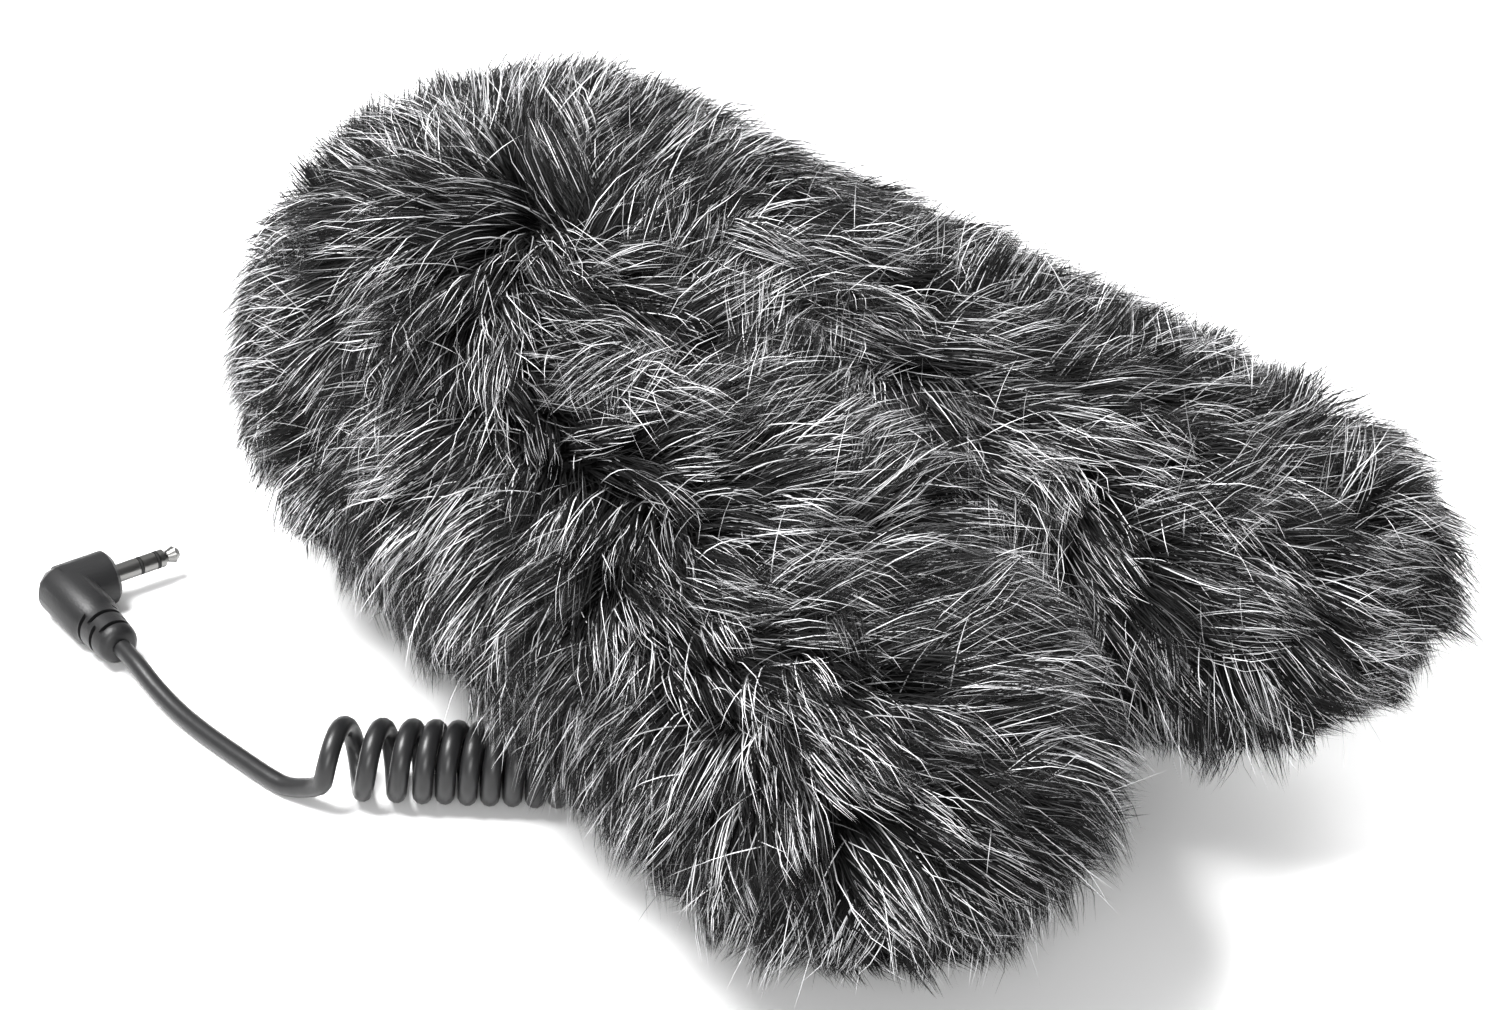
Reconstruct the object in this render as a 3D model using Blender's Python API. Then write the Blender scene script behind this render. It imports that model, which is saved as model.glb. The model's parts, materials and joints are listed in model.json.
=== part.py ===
"""A furry windscreen on the two-arm stereo camera microphone that it covers.

The fur jacket is a bell with two blunt lobes, open underneath. Inside it is the microphone: a domed
housing with two oval arms in a V, on rubber isolators over a camera shoe foot, with a coiled cable
that ends in a right-angle jack plug. The front of the microphone faces -Y. The origin is the centre
of the shoe foot's underside.
"""

import math

import bmesh
import bpy
import numpy as np
from mathutils import Matrix, Vector

# ---------------------------------------------------------------- driving dimensions, in millimetres
MM = 0.001
GAP = 0.3  # between pieces that touch on the real object
UP = Vector((0, 0, 1))

# Fur jacket: an ellipsoid at the rear drawn out to an ellipsoid at each lobe's tip.
FUR_REAR = Vector((0, 38, 50))
FUR_REAR_HALF = Vector((52, 42, 44))  # sideways, upwards, downwards
FUR_TIP = Vector((44, -88, 41))
FUR_TIP_HALF = Vector((37, 23, 26))
FUR_HEM_Z = 20.3
FUR_CORE = Vector((0, -30, 42))  # a point that sees the whole inside of the jacket
FUR_SEAM_Z = 50
FUR_AROUND, FUR_UP = 56, 14
LOWER_FULLNESS = 4  # how square the jacket's section is below its widest line
LINING = 1.0
HOUSING_CLEARANCE = 3.0
ARM_CLEARANCE = 2.5
HEM_DIAMETER = 2.5
HEM_EASE = 1.2  # how far the hem's elastic lies outside the lining, beyond touching it
HEM_POINTS = 112

# Housing: a pebble, widest from HOUSING_FULL_Z upwards for HOUSING_WALL_HEIGHT.
HOUSING_HALF_WIDTH = 33
HOUSING_HALF_LENGTH = 40
HOUSING_CENTRE_Y = 30
HOUSING_SQUARENESS = 2.6
HOUSING_BOTTOM_Z = 26
HOUSING_TOP_Z = 76
HOUSING_WALL = 2
HOUSING_POINTS = 48
# height as a share of the housing's height, and the share of its full outline there
HOUSING_LEVELS = (
    (0, 0.92), (0.07, 1), (0.62, 1), (0.73, 0.955), (0.82, 0.885), (0.9, 0.785), (0.96, 0.67), (1, 0.53),
)

# Arms: oval baskets in a V, on lines that cross at ARM_CROSSING.
ARM_CROSSING = Vector((0, 38, 42))
ARM_ANGLE = 19  # degrees, each side of straight ahead
ARM_START = 57  # along the arm's line
ARM_END = 146
ARM_HALF_WIDTH = 17
ARM_HALF_HEIGHT = 10
ARM_WALL = 1.2
ARM_POINTS = 24
TUBE_DIAMETER = 15
TUBE_WALL = 1
TUBE_END_GAP = 6  # from the tube's mouth to the basket's end
TUBE_SLOTS = 9
TUBE_SLOT_WIDTH = 2
CAPSULE_DIAMETER = 13.5
CAPSULE_LENGTH = 7
CAPSULE_AT = 62  # its back, along the arm's line
SUPPORT_LENGTH = 4

# Batteries, two side by side across the housing, behind the isolators.
BATTERY_DIAMETER = 10.5
BATTERY_LENGTH = 44.5
BATTERY_MIDDLE_Y = 46.7
BATTERY_APART = 1.5
DOOR_HALF_WIDTH = 26
DOOR_FRONT_Y = 35.6
DOOR_REAR_Y = 62.4
DOOR_THICKNESS = 2
BATTERY_Y = tuple(BATTERY_MIDDLE_Y + side * (BATTERY_DIAMETER + BATTERY_APART) / 2 for side in (-1, 1))
BATTERY_Z = HOUSING_BOTTOM_Z + DOOR_THICKNESS + 1.75 + BATTERY_DIAMETER / 2
DOOR_OPENING_REAR_Y = 64.4
DOOR_EDGE_GAP = 0.4
DOOR_PLATE_SHORT = 4.4  # from the hinge's line to the plate's rear edge, beside the hinge
DOOR_SWING_GAP = 1.4  # behind that edge, which swings up as the door opens
HINGE_Y, HINGE_Z = 60.5, 28.9
HINGE_PIN_DIAMETER = 1.6
HINGE_BORE = 2.2
HINGE_BARREL_DIAMETER = 4.2
HINGE_BARREL_LENGTH = 40
HINGE_LUG_THICKNESS = 4

# Rear controls.
SWITCH_HEIGHT_SHARE = 0.48  # of the housing's height
SWITCH_Z = HOUSING_BOTTOM_Z + SWITCH_HEIGHT_SHARE * (HOUSING_TOP_Z - HOUSING_BOTTOM_Z)
BOARD_Z = SWITCH_Z + 6
BOARD_THICKNESS = 1.2
BOARD_HALF_WIDTH = 20.5
BOARD_REAR_Y, BOARD_FRONT_Y = 58, 4
SWITCH_X = 11
SWITCH_HALF_WIDTH = 6.5
SWITCH_DEPTH = 5.2
SWITCH_SINK = 6.6  # from the housing's outside to the switch's front
FLANGE_THICKNESS, FLANGE_LIP = 1, 1
SWITCH_TRAVEL = 6
KNOB = Vector((6, 0, 2.6))
KNOB_PROUD = 0.3
SLOT_GAP = 0.35
LIGHT_PIPE_DIAMETER = 2.5
SCREW_DIAMETER = 1.8
SCREW_HEAD_DIAMETER = 4
SCREW_HEAD_HEIGHT = 1.2
SCREW_LENGTH = 17
SCREW_PLACES = ((23, 8), (28, 33))  # right-hand side; mirrored on the left
BOSS_DIAMETER = 5
WEB_SINK = 1  # from the housing's outside to the end of a post's web

# Shock mount and shoe foot.
FOOT_SIDE_X, FOOT_SIDE_Y, FOOT_THICKNESS = 18.4, 18.0, 2.0
STEM_DIAMETER = 9
WHEEL_DIAMETER, WHEEL_THICKNESS, WHEEL_Z = 24, 4.6, 5.4
WHEEL_NOTCHES, NOTCH_DEPTH = 24, 0.7
WASHER_DIAMETER, WASHER_THICKNESS = 20, 0.8
BASE_HALF_WIDTH, BASE_HALF_LENGTH = 15, 23
BASE_BOTTOM_Z, BASE_TOP_Z = 11, 17
BASE_CORNER = 6
STEM_SEAT_DEPTH = 3
ISOLATOR_Y = 14
ISOLATOR_HALF_LENGTH = 7
ISOLATOR_HALF_WIDTH = 13
ISOLATOR_WALL = 1.9
SIGNAL_LEAD_DIAMETER = 1.8

# Cable, coil and plug.
CORD_DIAMETER = 3.6
GLAND_X, GLAND_Z = -9, 14
GLAND_LENGTH, GLAND_ROOT_DIAMETER, GLAND_TIP_DIAMETER = 12, 6.4, 5
COIL_DIAMETER = 15.4
COIL_LENGTH = 62
COIL_CENTRE = Vector((-59.5, -10.5, COIL_DIAMETER / 2))
COIL_HEADING = -48  # degrees from +X, pointing at the end nearest the foot
LEAD_ROUTE = (
    (-9, -35.3, 14), (-9, -41, 13.3), (-10, -46.5, 11.3), (-13.5, -51, 8.4), (-19, -53, 5.5),
    (-25, -50.2, 3.2), (-30.2, -44.2, 2), (-34.6, -38.6, 1.8), (-38.55, -33.75, 1.8),
)
TAIL_ROUTE = (
    (-82.7, 10.75, 1.9), (-84.6, 14.2, 1.8), (-85.3, 20, 1.8), (-85.2, 28, 1.8), (-84.9, 37, 1.8),
    (-84.3, 46, 2.1), (-83.4, 54, 3.2), (-82.3, 61, 4.7), (-81.26, 66.55, 5.2),
)
PLUG_ELBOW = Vector((-77, 88.5, 5.2))
PLUG_HEADING = -11  # degrees from +X, the way the pin points
PLUG_DIAMETER = 10.4
PLUG_PIN_SIDE = 9.5  # from the elbow's centre to the face that the pin leaves
PLUG_CORD_SIDE = 13
PLUG_BOOT_END = 22
PLUG_BOOT_END_DIAMETER = 7.4
BOOT_SLOTS, SLOT_WIDTH, SLOT_SPACING = 4, 0.9, 1.9
BOOT_CORE = 2.7  # from the boot's axis to the floor of a slot
PIN_DIAMETER = 3.5
PIN_SLEEVE, PIN_RING, PIN_TIP, PIN_INSULATOR = 5.4, 2.8, 4.3, 0.5
PIN_GAP = 0.12


# ---------------------------------------------------------------- materials
def material(name, colour, roughness, metallic=0.0):
    made = bpy.data.materials.new(name)
    made.use_nodes = True
    shader = made.node_tree.nodes["Principled BSDF"]
    shader.inputs["Base Color"].default_value = (*colour, 1)
    shader.inputs["Roughness"].default_value = roughness
    shader.inputs["Metallic"].default_value = metallic
    return made


def make_materials():
    return {
        "fur": material("grey_fur", (0.10, 0.10, 0.105), 0.85),
        "lining": material("lining_mesh", (0.03, 0.03, 0.03), 0.95),
        "elastic": material("hem_elastic", (0.02, 0.02, 0.02), 0.8),
        "housing": material("housing_black", (0.03, 0.03, 0.032), 0.45),
        "mesh": material("basket_moulding", (0.05, 0.05, 0.052), 0.6),
        "tube": material("tube_aluminium", (0.5, 0.5, 0.52), 0.35, 1.0),
        "steel": material("steel", (0.6, 0.6, 0.6), 0.3, 1.0),
        "rubber": material("rubber", (0.02, 0.02, 0.02), 0.7),
        "board": material("board_green", (0.02, 0.11, 0.05), 0.5),
        "battery": material("battery_jacket", (0.05, 0.05, 0.06), 0.35),
        "light": material("light_pipe", (0.6, 0.08, 0.05), 0.2),
        "cord": material("cord_black", (0.025, 0.025, 0.026), 0.5),
        "plug": material("plug_black", (0.03, 0.03, 0.031), 0.5),
        "contact": material("plug_nickel", (0.72, 0.71, 0.68), 0.2, 1.0),
    }


# ---------------------------------------------------------------- shapes, all in millimetres
def finish(name, bm, slot, parent=None, smooth=True):
    """Makes an object of a bmesh in millimetres, with its faces pointing out, and gives it a material."""
    bmesh.ops.remove_doubles(bm, verts=bm.verts, dist=1e-4)
    bmesh.ops.recalc_face_normals(bm, faces=bm.faces)
    bmesh.ops.scale(bm, vec=(MM, MM, MM), verts=bm.verts)
    mesh = bpy.data.meshes.new(name)
    bm.to_mesh(mesh)
    bm.free()
    if smooth:
        mesh.shade_smooth()
        mesh.set_sharp_from_angle(angle=math.radians(35))
    made = bpy.data.objects.new(name, mesh)
    bpy.context.collection.objects.link(made)
    if slot:
        mesh.materials.append(MATERIALS[slot])
    if parent:
        made.parent = parent
    return made


def frame_at(origin, along):
    """A matrix that puts a shape's +Z along a direction, at a point."""
    turn = Vector(along).normalized().to_track_quat("Z", "Y").to_matrix().to_4x4()
    return Matrix.Translation(origin) @ turn


def joined(*parts):
    """One bmesh that holds several, as separate shells."""
    whole = bmesh.new()
    for part in parts:
        copy = bpy.data.meshes.new("part")
        part.to_mesh(copy)
        part.free()
        whole.from_mesh(copy)
        bpy.data.meshes.remove(copy)
    return whole


def block(low, high):
    bm = bmesh.new()
    bmesh.ops.create_cube(bm, size=1)
    low, high = Vector(low), Vector(high)
    bmesh.ops.scale(bm, vec=high - low, verts=bm.verts)
    bmesh.ops.translate(bm, vec=(low + high) / 2, verts=bm.verts)
    return bm


def turned(profile, sides=32, placed=None):
    """A closed profile of (radius, height) points spun about +Z, then placed by a matrix."""
    bm = bmesh.new()
    rings = []
    for radius, height in profile:
        if radius < 1e-6:
            rings.append([bm.verts.new((0, 0, height))])
            continue
        angles = (2 * math.pi * i / sides for i in range(sides))
        rings.append([bm.verts.new((radius * math.cos(a), radius * math.sin(a), height)) for a in angles])
    for ring, after in zip(rings, rings[1:] + rings[:1]):
        for i in range(sides):
            j = (i + 1) % sides
            corners = [ring[i % len(ring)], ring[j % len(ring)], after[j % len(after)], after[i % len(after)]]
            corners = list(dict.fromkeys(corners))
            if len(corners) > 2:
                bm.faces.new(corners)
    if placed:
        bm.transform(placed)
    return bm


def rod(start, end, diameter, sides=24):
    start, end = Vector(start), Vector(end)
    half = diameter / 2
    length = (end - start).length
    return turned([(0, 0), (half, 0), (half, length), (0, length)], sides, frame_at(start, end - start))


def prism(outline, low, high):
    """A plan outline, as (x, y) points, raised from one height to another."""
    return loft([[(x, y, low) for x, y in outline], [(x, y, high) for x, y in outline]])


def loft(rings):
    """A closed solid through rings of points that have equal counts, with flat ends. Its sides are
    triangles, because a Boolean needs flat faces."""
    bm = bmesh.new()
    rows = [[bm.verts.new(p) for p in ring] for ring in rings]
    count = len(rows[0])
    for row, after in zip(rows, rows[1:]):
        for i in range(count):
            j = (i + 1) % count
            bm.faces.new((row[i], row[j], after[j]))
            bm.faces.new((row[i], after[j], after[i]))
    bm.faces.new(rows[0])
    bm.faces.new(rows[-1])
    return bm


def superellipse(half_x, half_y, power, count, centre=(0, 0)):
    points = []
    for i in range(count):
        a = 2 * math.pi * (i + 0.5) / count
        c, s = math.cos(a), math.sin(a)
        points.append((
            centre[0] + half_x * math.copysign(abs(c) ** (2 / power), c),
            centre[1] + half_y * math.copysign(abs(s) ** (2 / power), s),
        ))
    return points


def cut(target, *cutters, operation="DIFFERENCE"):
    for cutter in cutters:
        cutter.hide_render = True
        cutter.display_type = "WIRE"
        step = target.modifiers.new(operation.lower(), "BOOLEAN")
        step.operation = operation
        step.solver = "EXACT"
        step.object = cutter
    return target


def helper(name, bm):
    """A cutter, or a shape that a Boolean joins to another."""
    made = finish(name, bm, None, smooth=False)
    made.hide_render = True
    made.display_type = "WIRE"
    return made


# ---------------------------------------------------------------- housing and cavity shapes
def housing_shape(grow, straight_down_to=None):
    """The housing's pebble, grown by a distance. With straight_down_to it has no narrowing below its
    widest line, so that what has this shape inside can be lifted off."""
    height = HOUSING_TOP_Z - HOUSING_BOTTOM_Z
    levels = [(HOUSING_BOTTOM_Z + share * height, size) for share, size in HOUSING_LEVELS]
    if straight_down_to is not None:
        levels = [(straight_down_to, 1)] + levels[2:]
    rings = []
    for level, (z, size) in enumerate(levels):
        z += grow if level == len(levels) - 1 else 0
        z -= grow if level == 0 and straight_down_to is None else 0
        outline = superellipse(
            HOUSING_HALF_WIDTH * size + grow,
            HOUSING_HALF_LENGTH * size + grow,
            HOUSING_SQUARENESS,
            HOUSING_POINTS,
            (0, HOUSING_CENTRE_Y),
        )
        rings.append([(x, y, z) for x, y in outline])
    return loft(rings)


def arm_direction(side):
    a = math.radians(ARM_ANGLE)
    return Vector((side * math.sin(a), -math.cos(a), 0))


def arm_frame(side, along):
    """A matrix at a point on an arm's line: +Z runs out along the arm, +Y is up and +X is across."""
    ahead = arm_direction(side)
    across = UP.cross(ahead)
    origin = ARM_CROSSING + ahead * along
    return Matrix((
        (across.x, 0, ahead.x, origin.x),
        (across.y, 0, ahead.y, origin.y),
        (across.z, 1, ahead.z, origin.z),
        (0, 0, 0, 1),
    ))


def arm_oval(side, start, end, grow, end_round=0.0):
    """An oval bar along an arm. end_round is the length over which its far end rounds in."""
    steps = [0.0] if not end_round else [0.0, 0.35, 0.62, 0.83, 0.95]
    rings = [(start, 1.0)]
    rings += [(end - end_round * (1 - s), math.sqrt(1 - s * s)) for s in steps]
    shaped = []
    for along, size in rings:
        outline = superellipse(
            (ARM_HALF_WIDTH + grow) * size, (ARM_HALF_HEIGHT + grow) * size, 2.3, ARM_POINTS
        )
        place = arm_frame(side, along)
        shaped.append([place @ Vector((x, y, 0)) for x, y in outline])
    return loft(shaped)


def arm_arch(side, grow, floor_z):
    """The space that an arm sweeps as it drops out of the jacket: its oval, carried straight down."""
    half = ARM_HALF_WIDTH + grow
    rise = ARM_HALF_HEIGHT + grow
    drop = ARM_CROSSING.z - floor_z
    arch = [(half * math.cos(a), rise * math.sin(a)) for a in np.linspace(0, math.pi, 11)]
    outline = arch + [(-half, -drop), (half, -drop)]
    rings = []
    for along in (ARM_START - HOUSING_HALF_LENGTH, ARM_END + grow):
        place = arm_frame(side, along)
        rings.append([place @ Vector((x, y, 0)) for x, y in outline])
    return loft(rings)


# ---------------------------------------------------------------- fur jacket
def jacket_holds(points):
    """For each point, whether it is inside the jacket's outer shape, before the hem is cut."""
    inside = np.zeros(len(points), bool)
    for side in (-1, 1):
        for share in np.linspace(0, 1, 25):
            centre = FUR_REAR.lerp(Vector((side * FUR_TIP.x, FUR_TIP.y, FUR_TIP.z)), share)
            across, above, below = FUR_REAR_HALF.lerp(FUR_TIP_HALF, share)
            off = points - np.array(centre)
            wide = (off[:, 0] ** 2 + off[:, 1] ** 2) / across**2
            low_part = np.abs(off[:, 2] / below) ** LOWER_FULLNESS
            high = np.where(off[:, 2] > 0, (off[:, 2] / above) ** 2, low_part)
            inside |= wide + high < 1
    return inside


def jacket_surface(around, up):
    """Points on the jacket's outside, in rings from the hem's middle to the top."""
    directions = []
    for j in range(up + 1):
        height = -math.pi / 2 + math.pi * j / up
        for i in range(around):
            a = 2 * math.pi * (i + 0.5) / around
            flat = math.cos(height)
            directions.append((math.cos(a) * flat, math.sin(a) * flat, math.sin(height)))
    directions = np.array(directions)
    near, far = np.zeros(len(directions)), np.full(len(directions), 250.0)
    for _ in range(26):
        middle = (near + far) / 2
        held = jacket_holds(np.array(FUR_CORE) + directions * middle[:, None])
        near, far = np.where(held, middle, near), np.where(held, far, middle)
    reach_hem = np.where(
        directions[:, 2] < -1e-6, (FUR_HEM_Z - FUR_CORE.z) / np.minimum(directions[:, 2], -1e-6), np.inf
    )
    return np.array(FUR_CORE) + directions * np.minimum(near, reach_hem)[:, None]


def jacket_shape():
    points = jacket_surface(FUR_AROUND, FUR_UP).reshape(FUR_UP + 1, FUR_AROUND, 3)
    bm = bmesh.new()
    bottom, top = bm.verts.new(points[0, 0]), bm.verts.new(points[-1, 0])
    rows = [[bottom] * FUR_AROUND]
    rows += [[bm.verts.new(p) for p in ring] for ring in points[1:-1]]
    rows.append([top] * FUR_AROUND)
    for row, after in zip(rows, rows[1:]):
        for i in range(FUR_AROUND):
            j = (i + 1) % FUR_AROUND
            for corners in ((row[i], row[j], after[j]), (row[i], after[j], after[i])):
                if len(set(corners)) == 3:
                    bm.faces.new(corners)
    return bm


def cavity(name, grow):
    """The three shapes that make the space inside the jacket, grown by a distance, as helpers."""
    floor_z = FUR_HEM_Z - 12
    housing = helper(name + "_housing", housing_shape(HOUSING_CLEARANCE + grow, floor_z))
    arms = []
    for side in (-1, 1):
        arms.append(helper(f"{name}_arm_{side}", arm_arch(side, ARM_CLEARANCE + grow, floor_z)))
    return [housing, *arms]


def make_fur_panels(parent):
    reach = 200
    seam = GAP / 2
    spans = {
        "fur_top_panel": ((-reach, -reach, FUR_SEAM_Z + seam), (reach, reach, reach)),
        "fur_left_panel": ((-reach, -reach, 0), (-seam, reach, FUR_SEAM_Z - seam)),
        "fur_right_panel": ((seam, -reach, 0), (reach, reach, FUR_SEAM_Z - seam)),
    }
    for name, (low, high) in spans.items():
        panel = finish(name, jacket_shape(), "fur", parent)
        cut(panel, *cavity(name + "_space", LINING + GAP))
        cut(panel, helper(name + "_span", block(low, high)), operation="INTERSECT")


def make_lining(parent):
    grown = HOUSING_CLEARANCE + LINING
    bottom = FUR_HEM_Z
    lining = finish("jacket_lining", housing_shape(grown, bottom), "lining", parent)
    outer_arms = []
    for side in (-1, 1):
        arch = arm_arch(side, ARM_CLEARANCE + LINING, bottom)
        outer_arms.append(helper(f"lining_arm_{side}", arch))
    cut(lining, *outer_arms, operation="UNION")
    cut(lining, *cavity("lining_space", 0))


def in_mouth(x, y, grow):
    """Whether a plan point is inside the jacket's mouth, grown by a distance."""
    across = abs(x) / (HOUSING_HALF_WIDTH + HOUSING_CLEARANCE + grow)
    along = abs(y - HOUSING_CENTRE_Y) / (HOUSING_HALF_LENGTH + HOUSING_CLEARANCE + grow)
    if across**HOUSING_SQUARENESS + along**HOUSING_SQUARENESS < 1:
        return True
    half = ARM_HALF_WIDTH + ARM_CLEARANCE + grow
    ahead = arm_direction(1)
    off = Vector((abs(x), y, 0)) - Vector((ARM_CROSSING.x, ARM_CROSSING.y, 0))
    reach = off.dot(ahead)
    return 0 < reach < ARM_END + ARM_CLEARANCE + grow and abs(off.cross(ahead).z) < half


def make_hem(parent):
    """The elastic cord in the hem, round the edge of the mouth, just under the fur."""
    grow = LINING + HEM_DIAMETER / 2 + HEM_EASE
    level = FUR_HEM_Z - GAP - HEM_DIAMETER / 2
    count = HEM_POINTS
    points = []
    for i in range(count):
        a = 2 * math.pi * (i + 0.5) / count
        near, far = 0.0, 200.0
        for _ in range(24):
            middle = (near + far) / 2
            if in_mouth(middle * math.cos(a), middle * math.sin(a), grow):
                near = middle
            else:
                far = middle
        points.append(Vector((near * math.cos(a), near * math.sin(a), level)))
    eased = [(points[i - 1] + points[i] * 4 + points[(i + 1) % count]) / 6 for i in range(count)]
    tube("elastic_hem", eased, HEM_DIAMETER, "elastic", closed=True, resolution=1, parent=parent)


# ---------------------------------------------------------------- cords
def smooth_route(route, spacing):
    """Points on a Catmull-Rom curve through the route's own points."""
    held = [Vector(p) for p in route]
    held = [held[0] * 2 - held[1], *held, held[-1] * 2 - held[-2]]
    made = []
    for before, start, end, after in zip(held, held[1:], held[2:], held[3:]):
        steps = max(2, math.ceil((end - start).length / spacing))
        for k in range(steps):
            t = k / steps
            made.append(0.5 * (
                2 * start + (end - before) * t + (2 * before - 5 * start + 4 * end - after) * t**2
                + (3 * start - before - 3 * end + after) * t**3
            ))
    return [*made, held[-2]]


def tube(name, points, diameter, slot, closed=False, resolution=2, parent=None):
    line = bpy.data.curves.new(name, "CURVE")
    line.dimensions = "3D"
    line.bevel_depth = diameter / 2 * MM
    line.bevel_resolution = resolution
    line.use_fill_caps = True
    spline = line.splines.new("POLY")
    spline.points.add(len(points) - 1)
    for point, place in zip(spline.points, points):
        point.co = (*(Vector(place) * MM), 1)
    spline.use_cyclic_u = closed
    line.materials.append(MATERIALS[slot])
    made = bpy.data.objects.new(name, line)
    bpy.context.collection.objects.link(made)
    if parent:
        made.parent = parent
    return made


def coil_direction():
    a = math.radians(COIL_HEADING)
    return Vector((math.cos(a), math.sin(a), 0))


def make_cable():
    spacing = 2 * CORD_DIAMETER
    tube("cable_lead", smooth_route(LEAD_ROUTE, spacing), CORD_DIAMETER, "cord")
    tube("cable_tail", smooth_route(TAIL_ROUTE, spacing), CORD_DIAMETER, "cord")
    half = coil_direction() * (COIL_LENGTH / 2)
    finish("cable_coil", rod(COIL_CENTRE - half, COIL_CENTRE + half, COIL_DIAMETER, 20), "cord")
    root = Vector((GLAND_X, -BASE_HALF_LENGTH - GAP, GLAND_Z))
    wide, narrow = GLAND_ROOT_DIAMETER / 2, GLAND_TIP_DIAMETER / 2
    flange = wide + 0.9
    profile = [
        (0, 0), (flange, 0), (flange, 1.2), (wide, 1.6), (narrow, GLAND_LENGTH - 0.6),
        (narrow - 0.5, GLAND_LENGTH - GAP), (0, GLAND_LENGTH - GAP),
    ]
    finish("cable_gland", turned(profile, 24, frame_at(root, (0, -1, 0))), "rubber")


def plug_axes():
    a = math.radians(PLUG_HEADING)
    pin = Vector((math.cos(a), math.sin(a), 0))
    return pin, Vector((pin.y, -pin.x, 0))


def boot_slots(place):
    """Pairs of slots that let the boot bend, by turns at its sides and at its top and bottom."""
    blocks = []
    for k in range(BOOT_SLOTS):
        start = PLUG_CORD_SIDE + 0.3 + k * SLOT_SPACING
        for side in (-1, 1):
            near, far = sorted((side * BOOT_CORE, side * PLUG_DIAMETER))
            low, high = (near, -PLUG_DIAMETER), (far, PLUG_DIAMETER)
            if k % 2:
                low, high = low[::-1], high[::-1]
            slot = block((*low, start), (*high, start + SLOT_WIDTH))
            slot.transform(place)
            blocks.append(slot)
    return joined(*blocks)


def make_plug():
    pin, cord = plug_axes()
    radius = PLUG_DIAMETER / 2
    edge = 0.8
    pin_arm = [
        (0, -0.7), (radius, -0.7), (radius, PLUG_PIN_SIDE - edge), (radius - edge, PLUG_PIN_SIDE),
        (0, PLUG_PIN_SIDE),
    ]
    shell = finish("plug_shell", turned(pin_arm, 32, frame_at(PLUG_ELBOW, pin)), "plug")
    boot_end = PLUG_BOOT_END_DIAMETER / 2
    cord_arm = [
        (0, -1.1), (radius - 0.05, -1.1), (radius - 0.2, PLUG_CORD_SIDE - 1.2),
        (radius - 0.7, PLUG_CORD_SIDE - 0.4), (boot_end + 0.25, PLUG_BOOT_END - 1.6),
        (boot_end - 0.1, PLUG_BOOT_END - 0.6), (boot_end - 0.9, PLUG_BOOT_END), (0, PLUG_BOOT_END),
    ]
    cord_part = helper("plug_cord_arm", turned(cord_arm, 32, frame_at(PLUG_ELBOW, cord)))
    corner = bmesh.new()
    bmesh.ops.create_icosphere(corner, subdivisions=2, radius=radius)
    corner.transform(Matrix.Translation(PLUG_ELBOW))
    cut(shell, cord_part, helper("plug_corner", corner), operation="UNION")
    cut(shell, helper("boot_slots", boot_slots(frame_at(PLUG_ELBOW, cord))))
    half = PIN_DIAMETER / 2
    at = PLUG_PIN_SIDE + PIN_GAP
    stack = (
        ("plug_sleeve", PIN_SLEEVE, "contact"), ("plug_rear_insulator", PIN_INSULATOR, "rubber"),
        ("plug_ring", PIN_RING, "contact"), ("plug_front_insulator", PIN_INSULATOR, "rubber"),
    )
    for name, length, slot in stack:
        finish(name, rod(PLUG_ELBOW + pin * at, PLUG_ELBOW + pin * (at + length), PIN_DIAMETER), slot)
        at += length + PIN_GAP
    tip = [
        (0, 0), (half, 0), (half, 0.25 * PIN_TIP), (0.62 * half, 0.42 * PIN_TIP), (0.68 * half, 0.5 * PIN_TIP),
        (0.93 * half, 0.78 * PIN_TIP), (0.55 * half, PIN_TIP), (0, PIN_TIP),
    ]
    finish("plug_tip", turned(tip, 24, frame_at(PLUG_ELBOW + pin * at, pin)), "contact")


# ---------------------------------------------------------------- microphone
def shell_half(name, low, high, parent, posts):
    """The hollow housing with its two arm stubs and some posts inside, kept between two heights."""
    shell = finish(name, housing_shape(0), "housing", parent)
    back = ARM_START - 22
    stubs = [helper(f"{name}_stub_{s}", arm_oval(s, back, ARM_START - GAP, -0.6)) for s in (-1, 1)]
    cut(shell, *stubs, operation="UNION")
    cut(shell, helper(name + "_hollow", housing_shape(-HOUSING_WALL)))
    for s in (-1, 1):
        bore = arm_oval(s, back - 6, ARM_START + 5, -0.6 - HOUSING_WALL)
        cut(shell, helper(f"{name}_bore_{s}", bore))
    cut(shell, *posts, operation="UNION")
    reach = 120
    span = block((-reach, -reach, low), (reach, reach, high))
    cut(shell, helper(name + "_span", span), operation="INTERSECT")
    return shell


def screw_places():
    return [(side * x, y) for x, y in SCREW_PLACES for side in (-1, 1)]


def rear_y(x):
    """Where the housing's rear surface is at a distance from its middle."""
    across = abs(x) / HOUSING_HALF_WIDTH
    along = (1 - across**HOUSING_SQUARENESS) ** (1 / HOUSING_SQUARENESS)
    return HOUSING_CENTRE_Y + HOUSING_HALF_LENGTH * along


def wall_x(y):
    """How far the housing's outside is from its middle plane at a place along it."""
    along = abs(y - HOUSING_CENTRE_Y) / HOUSING_HALF_LENGTH
    return HOUSING_HALF_WIDTH * (1 - along**HOUSING_SQUARENESS) ** (1 / HOUSING_SQUARENESS)


def make_posts(name, low, high):
    """Screw posts, each tied to the housing's wall by a web."""
    posts = []
    for i, (x, y) in enumerate(screw_places()):
        posts.append(helper(f"{name}_{i}", rod((x, y, low), (x, y, high), BOSS_DIAMETER, 16)))
        xs = sorted((x, math.copysign(wall_x(y) - WEB_SINK, x)))
        web = block((xs[0], y - 0.8, low + 1), (xs[1], y + 0.8, high - 2))
        posts.append(helper(f"{name}_web_{i}", web))
    return posts


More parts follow.
